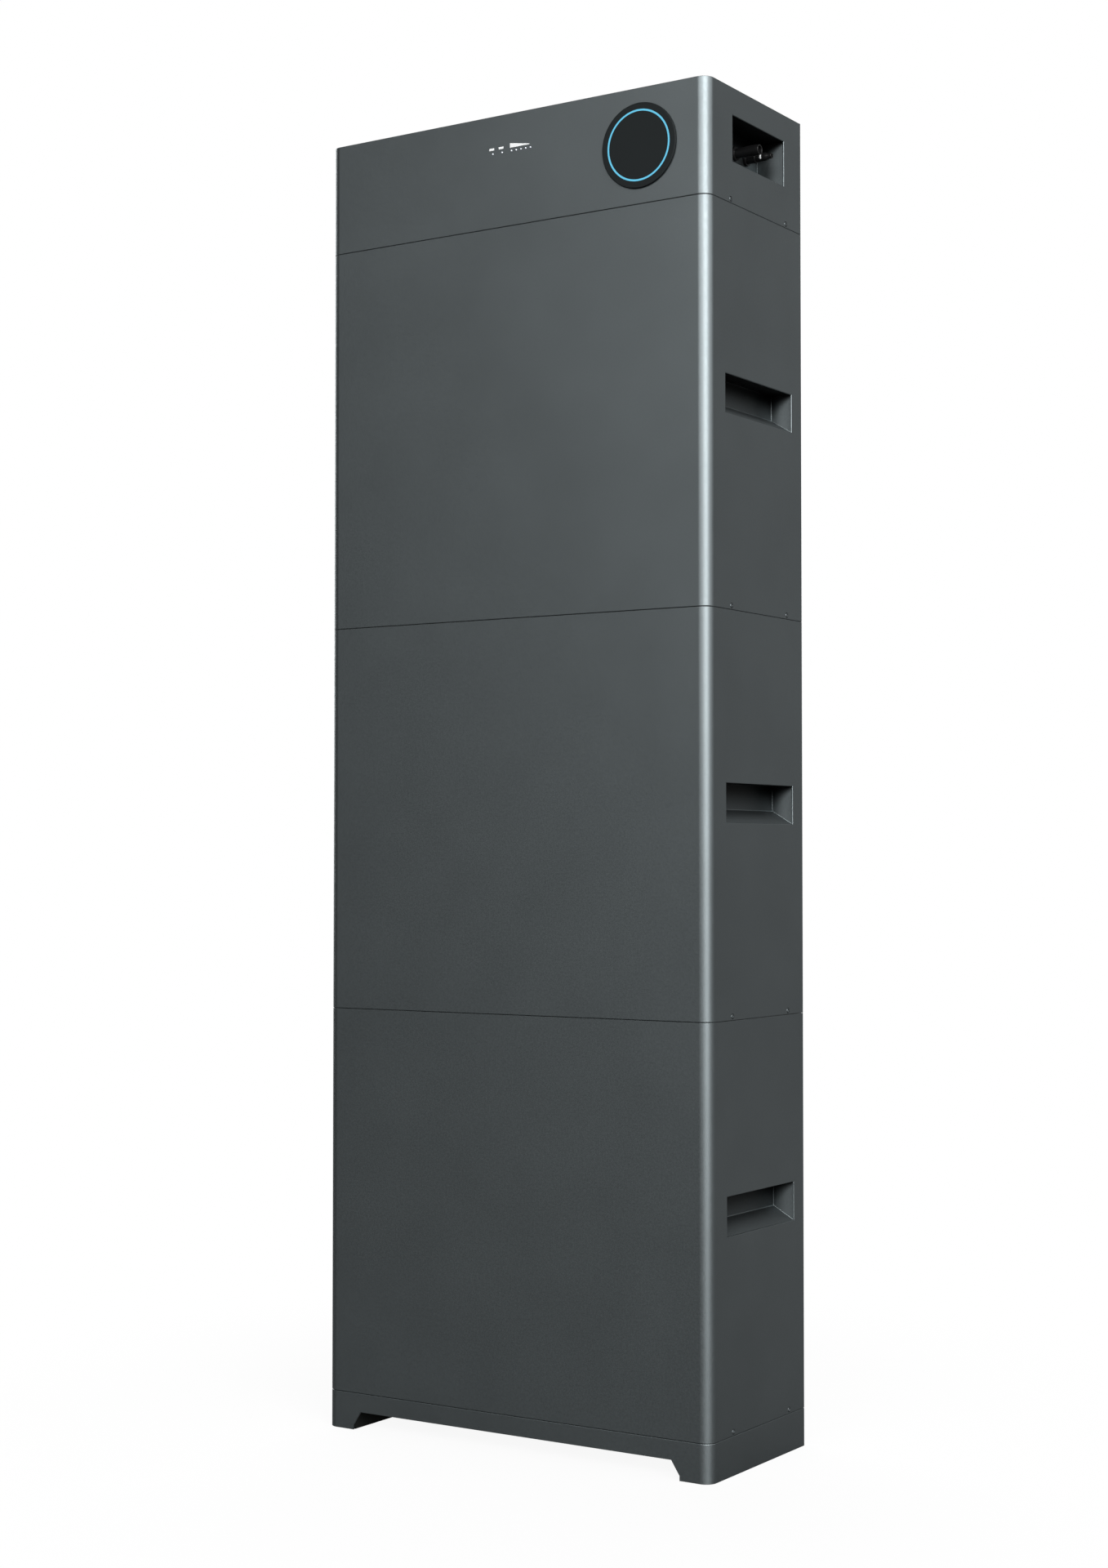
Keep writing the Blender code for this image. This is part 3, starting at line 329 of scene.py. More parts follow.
# Camera, with its lens in millimetres and its angles in degrees
LENS = 56.603
SENSOR_WIDTH = 36.0
CAMERA_PLACE = (1.81216, -2.80406, 0.77127)
CAMERA_TILT = 91.7892
CAMERA_TURN = 33.0587


# Materials


def linear(value):
    """Light of a screen value from 0 to 255."""
    share = value / 255
    if share <= 0.04045:
        return share / 12.92
    return ((share + 0.055) / 1.055) ** 2.4


def colour_of(values, scale=1.0):
    return tuple(min(1.0, linear(value) * scale) for value in values) + (1.0,)


def link(tree, source, output, target, socket):
    tree.links.new(source.outputs[output], target.inputs[socket])


def shader_of(material):
    """Node tree of a material, and its shader."""
    tree = material.node_tree
    return tree, tree.nodes["Principled BSDF"]


def empty_tree(owner):
    owner.use_nodes = True
    owner.node_tree.nodes.clear()
    return owner.node_tree


def arithmetic(tree, operation, source, output, second=0.0, third=0.0):
    node = tree.nodes.new("ShaderNodeMath")
    node.operation = operation
    node.inputs[1].default_value = second
    node.inputs[2].default_value = third
    link(tree, source, output, node, 0)
    return node


def map_range(tree, source, output, given, wanted, smooth=False):
    """Maps a given range of values to a wanted one."""
    node = tree.nodes.new("ShaderNodeMapRange")
    if smooth:
        node.interpolation_type = "SMOOTHSTEP"
    for socket, value in zip(("From Min", "From Max", "To Min", "To Max"), given + wanted):
        node.inputs[socket].default_value = value
    link(tree, source, output, node, "Value")
    return node


def split_place(tree, kind, output):
    """Coordinates of a place, from a node of the given kind."""
    place = tree.nodes.new(kind)
    split = tree.nodes.new("ShaderNodeSeparateXYZ")
    link(tree, place, output, split, "Vector")
    return split


def noise(tree, size):
    """Noise with features of about the given size, fixed to the object."""
    place = tree.nodes.new("ShaderNodeTexCoord")
    texture = tree.nodes.new("ShaderNodeTexNoise")
    texture.inputs["Scale"].default_value = 1.0 / size
    link(tree, place, "Object", texture, "Vector")
    return texture


def drift_of_colour(tree, shader, values, amount, size):
    """The colour wanders a little over the piece."""
    ramp = tree.nodes.new("ShaderNodeValToRGB")
    scales = (1.0 - amount, 1.0 + amount)
    for element, position, scale in zip(ramp.color_ramp.elements, NOISE_RANGE, scales):
        element.position = position
        element.color = colour_of(values, scale)
    link(tree, noise(tree, size), "Fac", ramp, "Fac")
    link(tree, ramp, "Color", shader, "Base Color")


def spread_of_roughness(tree, shader, low, high, size):
    """The roughness wanders between two values."""
    spread = map_range(tree, noise(tree, size), "Fac", NOISE_RANGE, (low, high))
    link(tree, spread, "Result", shader, "Roughness")


def grain(tree, shader, size, depth):
    """A fine bump, as on coated sheet or moulded plastic."""
    bump = tree.nodes.new("ShaderNodeBump")
    bump.inputs["Distance"].default_value = depth
    link(tree, noise(tree, size), "Fac", bump, "Height")
    link(tree, bump, "Normal", shader, "Normal")


def surface(
    name, values, roughness, metallic=0.0, specular=0.5, grain_size=0.0012, depth=0.00001, drift=0.04
):
    """A material whose colour and roughness wander a little, with a fine grain."""
    material = bpy.data.materials.new(name)
    material.use_nodes = True
    tree, shader = shader_of(material)
    shader.inputs["Metallic"].default_value = metallic
    shader.inputs["Specular IOR Level"].default_value = specular
    low = roughness - ROUGHNESS_SPREAD
    high = roughness + ROUGHNESS_SPREAD
    drift_of_colour(tree, shader, values, drift, DRIFT_SIZE)
    spread_of_roughness(tree, shader, low, high, grain_size * ROUGHNESS_GRAINS)
    grain(tree, shader, grain_size, depth)
    return material


def depth_in_pocket(tree, margin):
    """Distance from the side of the case, with a margin added."""
    across = arithmetic(tree, "ABSOLUTE", split_place(tree, "ShaderNodeTexCoord", "Object"), "X")
    return arithmetic(tree, "MULTIPLY_ADD", across, "Value", -1.0, HALF_WIDTH + margin)


def smoother_at_back(material):
    """A pocket's coat is rough at the mouth and smoother at the back."""
    tree, shader = shader_of(material)
    wander = shader.inputs["Roughness"].links[0].from_node
    wander.inputs["To Min"].default_value = -ROUGHNESS_SPREAD
    wander.inputs["To Max"].default_value = ROUGHNESS_SPREAD
    level = map_range(tree, depth_in_pocket(tree, 0.0), "Value", ROUGH_DEPTHS, ROUGH_LEVELS)
    total = arithmetic(tree, "ADD", level, "Result")
    link(tree, wander, "Result", total, 1)
    link(tree, total, "Value", shader, "Roughness")
    return material


def paint_pocket_shade(material, most, full):
    """Paints shade into a pocket's coat: it is darker towards the upper back of the pocket, where the shadow of
    its upper rim falls.

    It has its most below a line that falls from the upper rim into the pocket at the full slope."""
    tree, shader = shader_of(material)
    height = split_place(tree, "ShaderNodeTexCoord", "Generated")
    below = arithmetic(tree, "MULTIPLY_ADD", height, "Z", -SHADE_HEIGHT, SHADE_TOP)
    slope = arithmetic(tree, "DIVIDE", below, "Value")
    link(tree, depth_in_pocket(tree, SHADE_MARGIN), "Value", slope, 1)
    amount = map_range(tree, slope, "Value", (SHADE_START, full), (SHADE_LEAST, most), smooth=True)
    product = tree.nodes.new("ShaderNodeVectorMath")
    product.operation = "SCALE"
    tree.links.new(shader.inputs["Base Color"].links[0].from_socket, product.inputs[0])
    link(tree, amount, "Result", product, "Scale")
    link(tree, product, "Vector", shader, "Base Color")
    return material


def glowing(name, values, glow, strength):
    """A lit lens or ring: its own colour and a little light."""
    material = surface(name, values, 0.3, drift=0.02)
    shader = shader_of(material)[1]
    shader.inputs["Emission Color"].default_value = colour_of(glow)
    shader.inputs["Emission Strength"].default_value = strength
    return material


def coat(name, values, roughness):
    """A metallic coat on sheet."""
    return surface(name, values, roughness, metallic=1.0, grain_size=0.0009, depth=0.000006)


# Pocket and recess coats, with shade painted into their colour towards the upper back
def pocket_coat(name, most, full):
    return paint_pocket_shade(smoother_at_back(coat(name, POCKET_TONE, 0.7)), most, full)


def all_looks():
    return {
        "coat": coat("anthracite_coat", ANTHRACITE, 0.45),
        # The pocket and recess coats carry painted shade towards their upper backs
        "pocket": pocket_coat("pocket_coat", 0.55, 1.3),
        "recess": pocket_coat("recess_coat", 0.72, 0.8),
        # The pockets' rounded edges take a lighter copy of the coat, a painted highlight, with the same painted
        # shade towards the upper back
        "pocket_edge_highlight": paint_pocket_shade(coat("pocket_edge_highlight", ANTHRACITE, 0.4), 1.0, 1.0),
        "lid": surface("matt_coat", (60, 64, 66), 0.8, specular=0.0, grain_size=0.0009),
        # Near-black painted shade for the foot channels under the plinth
        "channel_shade": surface("foot_channel_shade", (16, 18, 17), 0.6, specular=0.25, grain_size=0.0009),
        "plate": surface("zinc_plate", (150, 152, 150), 0.38, metallic=0.9, grain_size=0.004),
        "cells": surface("cell_wrap", (52, 92, 150), 0.4, grain_size=0.003),
        "busbar": surface("busbar_metal", (186, 150, 96), 0.35, metallic=0.9, grain_size=0.002),
        "board": surface("circuit_board", (28, 92, 58), 0.45, grain_size=0.002),
        "black": surface("black_plastic", (13, 13, 14), 0.42, specular=0.35, grain_size=0.0006),
        "badge": surface("badge_face", (24, 28, 29), 0.6, specular=0.15, grain_size=0.0008),
        "ring": glowing("ring_inlay", (74, 140, 165), (100, 205, 240), 0.4),
        "lens": glowing("light_lens", (225, 230, 236), (236, 242, 250), 0.25),
        # Dark blue of the rings round the lenses: painted shade in their holes
        "well": surface("light_well", (12, 14, 34), 0.35, grain_size=0.0005),
        # White print, also used for the connector's white clip as a painted highlight
        "mark": surface("white_print_and_highlight", (222, 224, 224), 0.6, grain_size=0.0004),
        "grey": surface("grey_plastic", (150, 152, 152), 0.5, grain_size=0.0007),
        "button": surface("button_cap", (176, 178, 178), 0.3, metallic=0.9, grain_size=0.0008),
        "screw": surface("screw_steel", (104, 110, 112), 0.45, metallic=1.0, grain_size=0.0005),
        "contact": surface("contact_metal", (206, 168, 92), 0.28, metallic=1.0, grain_size=0.0005),
    }


LOOKS = all_looks()

# Look of each slot of the record
SLOT_LOOKS = {
    "coated_case": "coat",
    "pocket": "pocket",
    "zinc_plate": "plate",
    "cells": "cells",
    "busbar": "busbar",
    "board": "board",
    "black_plastic": "black",
    "badge_face": "badge",
    "ring": "ring",
    "lens": "lens",
    "grey_plastic": "grey",
    "button": "button",
}

# Slot that each look belongs to, if it has one
SLOTS = {look: slot for slot, look in SLOT_LOOKS.items()}
SLOTS["lid"] = "coated_case"
SLOTS["recess"] = "pocket"


def dress_solids():
    for entry in frame["record"]["subparts"]:
        name = entry["node"]
        # The foot channels under the plinth take a near-black look: painted shade where the plinth shades them
        look = "channel_shade" if name.endswith("_foot_channel") else SLOT_LOOKS[entry["material_slot"]]
        node = frame["nodes"][name]
        node.data.materials.clear()
        node.data.materials.append(LOOKS[look])


# Shapes


def loft(rings, closed=False):
    """A solid through rings with equal counts of points, capped at its ends or joined end to end."""
    shape = bmesh.new()
    loops = [[shape.verts.new(point) for point in ring] for ring in rings]
    pairs = list(zip(loops, loops[1:]))
    if closed:
        pairs.append((loops[-1], loops[0]))
    else:
        shape.faces.new(loops[0])
        shape.faces.new(loops[-1])
    for first, second in pairs:
        for index in range(len(first)):
            after = (index + 1) % len(first)
            shape.faces.new((first[index], first[after], second[after], second[index]))
    bmesh.ops.recalc_face_normals(shape, faces=shape.faces)
    return shape


def arc(centre, radius, start, steps):
    """Points of a quarter circle from a start in degrees."""
    points = []
    for step in range(steps + 1):
        angle = math.radians(start + 90 * step / steps)
        points.append((centre[0] + radius * math.cos(angle), centre[1] + radius * math.sin(angle)))
    return points


def at_height(outline, z):
    return [(x, y, z) for x, y in outline]


def rectangle(low, high):
    """Corners of a rectangle between two opposite ones."""
    return [(low[0], low[1]), (high[0], low[1]), (high[0], high[1]), (low[0], high[1])]


def side_ring(x, opening, grow=0.0):
    """A rectangle across X. The opening gives its front, rear, low and high."""
    front, rear, low, high = opening
    outline = rectangle((front - grow, low - grow), (rear + grow, high + grow))
    return [(x, y, z) for y, z in outline]


def side_block(opening, ends, grow=0.0):
    """A block between two places along X."""
    return loft([side_ring(x, opening, grow) for x in ends])


def front_block(outline, ends):
    """A block between two places along Y."""
    return loft([[(x, y, z) for x, z in outline] for y in ends])


def box(low, high):
    outline = rectangle(low, high)
    return loft([at_height(outline, low[2]), at_height(outline, high[2])])


def round_ring(axis, centre, along, radius, steps, sides=0):
    """Points round a line along X or Y, on a circle or on a shape with flat sides."""
    ring = []
    for step in range(steps):
        angle = 2 * math.pi * step / steps
        reach = radius
        if sides:
            part = math.pi / sides
            reach = radius * math.cos(part) / math.cos(angle % (2 * part) - part)
        first = centre[0] + reach * math.cos(angle)
        second = centre[1] + reach * math.sin(angle)
        ring.append((along, first, second) if axis == "X" else (first, along, second))
    return ring


def turned(axis, centre, profile, steps, closed=False):
    """A solid turned about a line along X or Y. The profile lists places along it and radii."""
    return loft([round_ring(axis, centre, along, radius, steps) for along, radius in profile], closed)


def rod(axis, centre, ends, radius, steps):
    return turned(axis, centre, [(along, radius) for along in ends], steps)


def together(shapes):
    """All shapes in one, without joining them."""
    whole = bmesh.new()
    for shape in shapes:
        mesh = bpy.data.meshes.new("gathered")
        shape.to_mesh(mesh)
        shape.free()
        whole.from_mesh(mesh)
        bpy.data.meshes.remove(mesh)
    return whole


def thing_of(name, shape):
    """An object in the scene that takes over a shape."""
    mesh = bpy.data.meshes.new(name)
    shape.to_mesh(mesh)
    shape.free()
    thing = bpy.data.objects.new(name, mesh)
    bpy.context.collection.objects.link(thing)
    return thing


def combine(shape, tool, operation):
    things = (thing_of("helper", shape), thing_of("helper", tool))
    change = things[0].modifiers.new("combine", "BOOLEAN")
    change.operation = operation
    change.solver = "EXACT"
    change.object = things[1]
    result = bmesh.new()
    result.from_object(things[0], bpy.context.evaluated_depsgraph_get())
    for thing in things:
        mesh = thing.data
        bpy.data.objects.remove(thing, do_unlink=True)
        bpy.data.meshes.remove(mesh)
    return result


def cut(shape, tool):
    return combine(shape, tool, "DIFFERENCE")


def fuse(shape, tool):
    return combine(shape, tool, "UNION")


# Pieces


def weigh_edges(shape, share):
    """Marks how much each sharp edge is rounded. Those that aren't rounded keep a crisp shade."""
    layer = shape.edges.layers.float.new("bevel_weight_edge")
    for edge in shape.edges:
        sharp = len(edge.link_faces) == 2 and edge.calc_face_angle(0.0) > SHARP_TURN
        if sharp:
            edge[layer] = share(edge) if share else 1.0
        edge.smooth = not (sharp and edge[layer] == 0.0)


def round_edges(thing, width, segments):
    rounding = thing.modifiers.new("rounding", "BEVEL")
    rounding.limit_method = "WEIGHT"
    rounding.width = width
    rounding.segments = segments
    rounding.use_clamp_overlap = True
    normals = thing.modifiers.new("normals", "WEIGHTED_NORMAL")
    normals.weight = 100
    normals.keep_sharp = True
    return rounding


def piece(
    name, shape, look, body="tower", stands_for=(), width=0.0006, share=None, segments=3, edge_look=None
):
    """A finished piece. Its edges are rounded by width, times the share that a function gives each edge."""
    weigh_edges(shape, share)
    thing = thing_of(name, shape)
    for face in thing.data.polygons:
        face.use_smooth = True
    thing.data.materials.append(LOOKS[look])
    rounding = round_edges(thing, width, segments)
    if edge_look:
        thing.data.materials.append(LOOKS[edge_look])
        rounding.material = 1
    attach(thing, body)
    if stands_for:
        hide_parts(*stands_for)


def unrounded(edge):
    return 0.0


def screw(axis, sign, face, centre, radius):
    """A low domed head on a face, with a six-sided socket."""
    rings = []
    for profile, sides in ((SCREW_DOME, 0), (SCREW_SOCKET, 6)):
        for rise, share in profile:
            along = face + sign * rise * radius
            rings.append(round_ring(axis, centre, along, share * radius, SMALL_STEPS, sides))
    return loft(rings)


# Folded cases


def wrap_outline(inset):
    """Section of a case: front and sides in one sheet, with a stepped return behind each side.

    The inset draws in the outer skin, up to a little before its rear."""
    front_centre = (HALF_WIDTH - CORNER_RADIUS, FRONT + CORNER_RADIUS)
    rear_centre = (HALF_WIDTH - REAR_RADIUS, REAR - REAR_RADIUS)
    step = HALF_WIDTH - RETURN_WIDTH
    end = step - REAR_FLANGE
    outer = arc(front_centre, CORNER_RADIUS - inset, 270, CORNER_STEPS)
    outer.append((HALF_WIDTH - inset, REAR - 2 * REAR_RADIUS))
    outer += arc(rear_centre, REAR_RADIUS, 0, REAR_STEPS)
    outer += [(step, REAR), (step, REAR - COVER_STEP), (end, REAR - COVER_STEP)]
    inner = arc(front_centre, CORNER_RADIUS - CASE_WALL, 270, CORNER_STEPS)
    inner += [(HALF_WIDTH - CASE_WALL, REAR - CASE_WALL), (step + CASE_WALL, REAR - CASE_WALL)]
    inner += [(step + CASE_WALL, REAR - COVER_STEP - CASE_WALL), (end, REAR - COVER_STEP - CASE_WALL)]
    left_outer = [(-x, y) for x, y in outer]
    left_inner = [(-x, y) for x, y in inner]
    return outer[::-1] + left_outer + left_inner[::-1] + inner


def quarter_round(radius):
    """Steps of a rounded edge, as pairs of depth below one face and inset from the other."""
    steps = []
    for step in range(ROUND_STEPS + 1):
        angle = math.radians(90 * step / ROUND_STEPS)
        steps.append((radius * (1 - math.cos(angle)), radius * (1 - math.sin(angle))))
    return steps


def opening_tool(opening, rim):
    """Cuts an opening through both sides and rounds its rims."""
    flare = [(HALF_WIDTH + CLEAR, rim)]
    flare += [(HALF_WIDTH - depth, grow) for depth, grow in quarter_round(rim)]
    mirrored = [(-x, grow) for x, grow in reversed(flare)]
    return loft([side_ring(x, opening, grow) for x, grow in flare + mirrored])


def wrap(low, high):
    """A case without openings, with a seam's rounding along its lower and upper edges."""
    on_plinth = low < PLINTH_HEIGHT + FIT
    lower = quarter_round(UPPER_ROUND if on_plinth else LOWER_ROUND)
    upper = quarter_round(UPPER_ROUND)
    levels = [(low + rise, inset) for rise, inset in lower]
    levels += [(high - drop, inset) for drop, inset in reversed(upper)]
    return loft([at_height(wrap_outline(inset), z) for z, inset in levels])


def opening_of(half, low, high):
    return (SIDE_MIDDLE - half, SIDE_MIDDLE + half, low, high)


def screw_places(seam):
    """Side and middle of each screw just over a seam."""
    return [(side, (y, seam + SIDE_SCREW_RAISE)) for side in (-1, 1) for y in SIDE_SCREW_PLACES]


def screw_seats(seam):
    """Round sinks that hold the heads of the side screws."""
    sinks = []
    for side, centre in screw_places(seam):
        ends = (side * (HALF_WIDTH + SMALL_CLEAR), side * (HALF_WIDTH - SEAT_DEPTH))
        sinks.append(rod("X", centre, ends, SEAT_RADIUS, HOLE_STEPS))
    return sinks


def case_shell(name, opening, rim, holes=()):
    low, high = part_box(name)
    opened = cut(wrap(low.z, high.z), opening_tool(opening, rim))
    opened = cut(opened, together(list(holes) + screw_seats(low.z)))
    piece(name + "_shell", opened, "coat", stands_for=[name], share=unrounded)


def rear_sheet(name):
    """A rear cover with its screws down both edges."""
    low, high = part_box(name)
    piece(name + "_sheet", box(low, high), "coat", stands_for=[name], width=0.0004)
    height = high.z - low.z
    count = max(2, round(height / REAR_SCREW_PITCH))
    heads = []
    for step in range(count):
        z = low.z + REAR_SCREW_END + (height - 2 * REAR_SCREW_END) * step / (count - 1)
        for x in (-REAR_SCREW_PLACE, REAR_SCREW_PLACE):
            heads.append(screw("Y", 1, high.y, (x, z), REAR_SCREW_RADIUS))
    piece(name + "_screws", together(heads), "screw", width=0.0001)


def side_screws(name, seam):
    heads = []
    for side, centre in screw_places(seam):
        heads.append(screw("X", side, side * (HALF_WIDTH - SIDE_SCREW_SINK), centre, SIDE_SCREW_RADIUS))
    piece(name, together(heads), "screw", width=0.0001)


def handle_opening(module):
    low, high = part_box(module + "_right_handle")
    return opening_of(HANDLE_HALF, low.z + POCKET_FLANGE, high.z - POCKET_FLANGE)


def pocket_shape(opening, depth, side, draft=0.0, slope=0.0):
    """A drawn tray behind an opening in the side. Its floor may rise towards the back."""
    front, rear, low, high = opening
    end = (front + draft, rear - draft, low + slope, high)
    mouth = HALF_WIDTH - CASE_WALL
    back = HALF_WIDTH - depth
    rings = [
        side_ring(back - POCKET_WALL, end, POCKET_WALL),
        side_ring(mouth - POCKET_WALL, opening, POCKET_WALL),
        side_ring(mouth - POCKET_WALL, opening, POCKET_FLANGE),
        side_ring(mouth, opening, POCKET_FLANGE),
        side_ring(mouth, opening),
        side_ring(back, end),
    ]
    return loft([[(side * x, y, z) for x, y, z in ring] for ring in rings])


def inner_share(opening, depth):
    """Rounds the edges in the corners of a pocket, but not at its mouth or round holes in its back."""
    front, rear, low, high = opening

    def in_corner(point):
        inside = front - NEAR < point.y < rear + NEAR and low - NEAR < point.z < high + NEAR
        before_back = abs(point.x) >= HALF_WIDTH - depth - NEAR
        at_end = point.y - front < END_REACH or rear - point.y < END_REACH
        at_edge = point.z - low < FLOOR_REACH or high - point.z < END_REACH
        return inside and before_back and at_end and at_edge

    def share(edge):
        first, second = [vert.co for vert in edge.verts]
        at_mouth = min(abs(first.x), abs(second.x)) > HALF_WIDTH - CASE_WALL - FIT
        if at_mouth or not (in_corner(first) and in_corner(second)):
            return 0.0
        upright = abs(first.x - second.x) < FIT and abs(first.y - second.y) < FIT
        return UPRIGHT_SHARE if upright else 1.0

    return share


def pocket_piece(name, shape, look, node, width, share):
    # Rounded edges in a pocket take the lighter edge coat: a painted highlight
    piece(name, shape, look, "tower", [node], width, share, segments=4, edge_look="pocket_edge_highlight")


def make_modules():
    for module in MODULES:
        opening = handle_opening(module)
        case_shell(module + "_case", opening, HANDLE_RIM)
        rear_sheet(module + "_rear_cover")
        side_screws(module + "_side_screws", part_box(module + "_case")[0].z)
        for side, word in ((-1, "left"), (1, "right")):
            node = f"{module}_{word}_handle"
            shape = pocket_shape(opening, HANDLE_DEPTH, side, HANDLE_DRAFT, HANDLE_SLOPE)
            share = inner_share(opening, HANDLE_DEPTH)
            pocket_piece(node + "_tray", shape, "pocket", node, HANDLE_ROUND, share)


# Plinth


def plan_outline(half_width, front, rear, front_radius, rear_radius):
    """A rectangle seen from above, with rounded corners."""
    front_side = half_width - front_radius
    rear_side = half_width - rear_radius
    points = arc((-front_side, front + front_radius), front_radius, 180, CORNER_STEPS)
    points += arc((front_side, front + front_radius), front_radius, 270, CORNER_STEPS)
    points += arc((rear_side, rear - rear_radius), rear_radius, 0, REAR_STEPS)
    points += arc((-rear_side, rear - rear_radius), rear_radius, 90, REAR_STEPS)
    return points


def drawn_in(half_width, front, rear, front_radius, rear_radius):
    """The inside of a wall that follows a plan."""
    radii = (front_radius - CASE_WALL, max(rear_radius - CASE_WALL, LEAST_RADIUS))
    return (half_width - CASE_WALL, front + CASE_WALL, rear - CASE_WALL) + radii


def outside(point):
    """True on the outer skin of the plinth."""
    x = abs(point.x)
    side = x - (HALF_WIDTH - CORNER_RADIUS)
    ahead = (FRONT + CORNER_RADIUS) - point.y
    if side > 0 and ahead > 0:
        depth = CORNER_RADIUS - math.hypot(side, ahead)
    else:
        depth = min(HALF_WIDTH - x, point.y - FRONT)
    return depth < CASE_WALL / 2 or point.y > REAR - CASE_WALL / 8


def arch_tool():
    """Cuts the gap between the feet, from front to rear."""
    right = [(ARCH_FLOOR, -ARCH_SHOULDER), (ARCH_FLOOR, ARCH_SHOULDER), (ARCH_TOP, ARCH_HEIGHT)]
    left = [(-x, z) for x, z in reversed(right)]
    return front_block(right + left, (FRONT - CLEAR, REAR + CLEAR))


def make_plinth():
    low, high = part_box("plinth_skirt")
    outer = plan_outline(*PLINTH_PLAN)
    inner = plan_outline(*drawn_in(*PLINTH_PLAN))
    rings = [at_height(inner, low.z), at_height(outer, low.z)]
    rings += [at_height(outer, high.z), at_height(inner, high.z)]
    skirt = cut(loft(rings, closed=True), arch_tool())

    def share(edge):
        if not all(outside(vert.co) for vert in edge.verts):
            return 0.0
        return 1.0 if all(vert.co.z > high.z - FIT for vert in edge.verts) else ARCH_SHARE

    node = "plinth_skirt"
    piece(node + "_shell", skirt, "coat", stands_for=[node], width=0.0012, share=share, segments=5)


# Control unit


def recess_opening():
    return opening_of(RECESS_HALF, RECESS_MIDDLE - RECESS_HEIGHT / 2, RECESS_MIDDLE + RECESS_HEIGHT / 2)


def make_control_case():
    ends = (FRONT - 2 * CASE_WALL, FRONT + 2 * CASE_WALL)
    holes = [rod("Y", (x, LIGHT_LEVEL), ends, LIGHT_HOLE, HOLE_STEPS) for x in LIGHT_PLACES]
    case_shell("control_case", recess_opening(), RECESS_RIM, holes)
    rear_sheet("control_rear_cover")
    side_screws("control_side_screws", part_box("control_case")[0].z)


def make_lid():
    low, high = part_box("control_lid")
    outer = plan_outline(*LID_PLAN)
    inner = plan_outline(*drawn_in(*LID_PLAN))
    rings = [at_height(inner, high.z - CASE_WALL), at_height(inner, low.z)]
    rings += [at_height(outer, low.z), at_height(outer, high.z)]

    def share(edge):
        return 1.0 if all(abs(vert.co.z - high.z) < TOUCH for vert in edge.verts) else 0.0

    piece("control_lid_plate", loft(rings), "lid", stands_for=["control_lid"], width=0.0006, share=share)


def make_indicators():
    """Domed ends of the light guide, each in a dark-blue well ring that is painted shade in the hole round the
    lens.
    """
    low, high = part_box("light_guide")
    profile = [(FRONT + along, LENS_RADIUS * share) for along, share in LENS_DOME]
    guide = [turned("Y", (x, LIGHT_LEVEL), profile, SMALL_STEPS) for x in LIGHT_PLACES]
    guide.append(box((low.x, INNER_FRONT, low.z), high))
    piece("light_guide_lenses", together(guide), "lens", stands_for=["light_guide"], width=0.00005)
    # Rings that fill the gap round each lens, as painted shade in the holes
    section = rectangle((FRONT + WELL_SINK, LIGHT_HOLE), (FRONT + CASE_WALL, LENS_RADIUS))
    wells = [turned("Y", (x, LIGHT_LEVEL), section, HOLE_STEPS, closed=True) for x in LIGHT_PLACES]
    piece("light_wells", together(wells), "well", width=0.00002)


def print_on_front(name, outline):
    shape = front_block(outline, (FRONT + PRINT_SINK, FRONT - PRINT_RISE))
    piece(name, shape, "mark", width=0.00003)


def make_marks():
    """Plain marks over the lights: two bars and a wedge."""
    low = MARK_BASE + BAR_RAISE
    for number, left in enumerate(BAR_LEFTS, 1):
        bar = rectangle((left, low), (left + BAR_WIDTH, low + BAR_HEIGHT))
        print_on_front(f"light_bar_{number}", bar)
    wedge = [
        (0.0, MARK_BASE),
        (WEDGE_WIDTH, MARK_BASE + WEDGE_RISE),
        (WEDGE_WIDTH, MARK_BASE + WEDGE_TIP),
        (0.0, MARK_BASE + WEDGE_HEIGHT),
    ]
    print_on_front("light_wedge", wedge)


def badge_share(edge):
    """Rounds the rim of the badge in full and its other edges a little."""
    points = [vert.co for vert in edge.verts]
    x, z = BADGE_CENTRE
    reach = max(math.hypot(point.x - x, point.z - z) for point in points)
    at_face = all(point.y < BADGE_FACE + TOUCH for point in points)
    return 1.0 if at_face and reach > BADGE_RADIUS - NEAR else GROOVE_SHARE


def make_badge():
    """A plate that stands off the front, with a ring let into its face."""
    inner = RING_MIDDLE - RING_WIDTH / 2
    outer = RING_MIDDLE + RING_WIDTH / 2
    floor = BADGE_FACE + RING_DEPTH
    stand = FRONT - BADGE_STAND
    disc = [
        (FRONT, BADGE_RADIUS - BADGE_LIP),
        (stand, BADGE_RADIUS - BADGE_LIP),
        (stand, BADGE_RADIUS),
        (BADGE_FACE, BADGE_RADIUS),
    ]
    disc += rectangle((BADGE_FACE, outer), (floor, inner))
    shape = turned("Y", BADGE_CENTRE, disc, BADGE_STEPS)
    node = "badge_disc"
    piece("badge_plate", shape, "badge", stands_for=[node], width=0.0013, share=badge_share, segments=4)
    ring = rectangle((BADGE_FACE - RING_RISE, outer), (floor, inner))
    shape = turned("Y", BADGE_CENTRE, ring, BADGE_STEPS, closed=True)
    piece("badge_ring_inlay", shape, "ring", stands_for=["badge_ring"], width=0.0001)


# Connectors in the right recess


def recess_tray(name, side, holes, node):
    opening = recess_opening()
    tray = cut(pocket_shape(opening, RECESS_DEPTH, side), together(holes))
    pocket_piece(name, tray, "recess", node, RECESS_ROUND, inner_share(opening, RECESS_DEPTH))


def connector_foot(flange, radius):
    """Shank behind the recess's back and flange on it, up to where the barrel starts."""
    return [
        (RECESS_WALL - SHANK_LENGTH, SHANK),
        (RECESS_WALL, SHANK),
        (RECESS_WALL, flange),
        (FLANGE_FACE, flange),
        (FLANGE_FACE, radius),
    ]


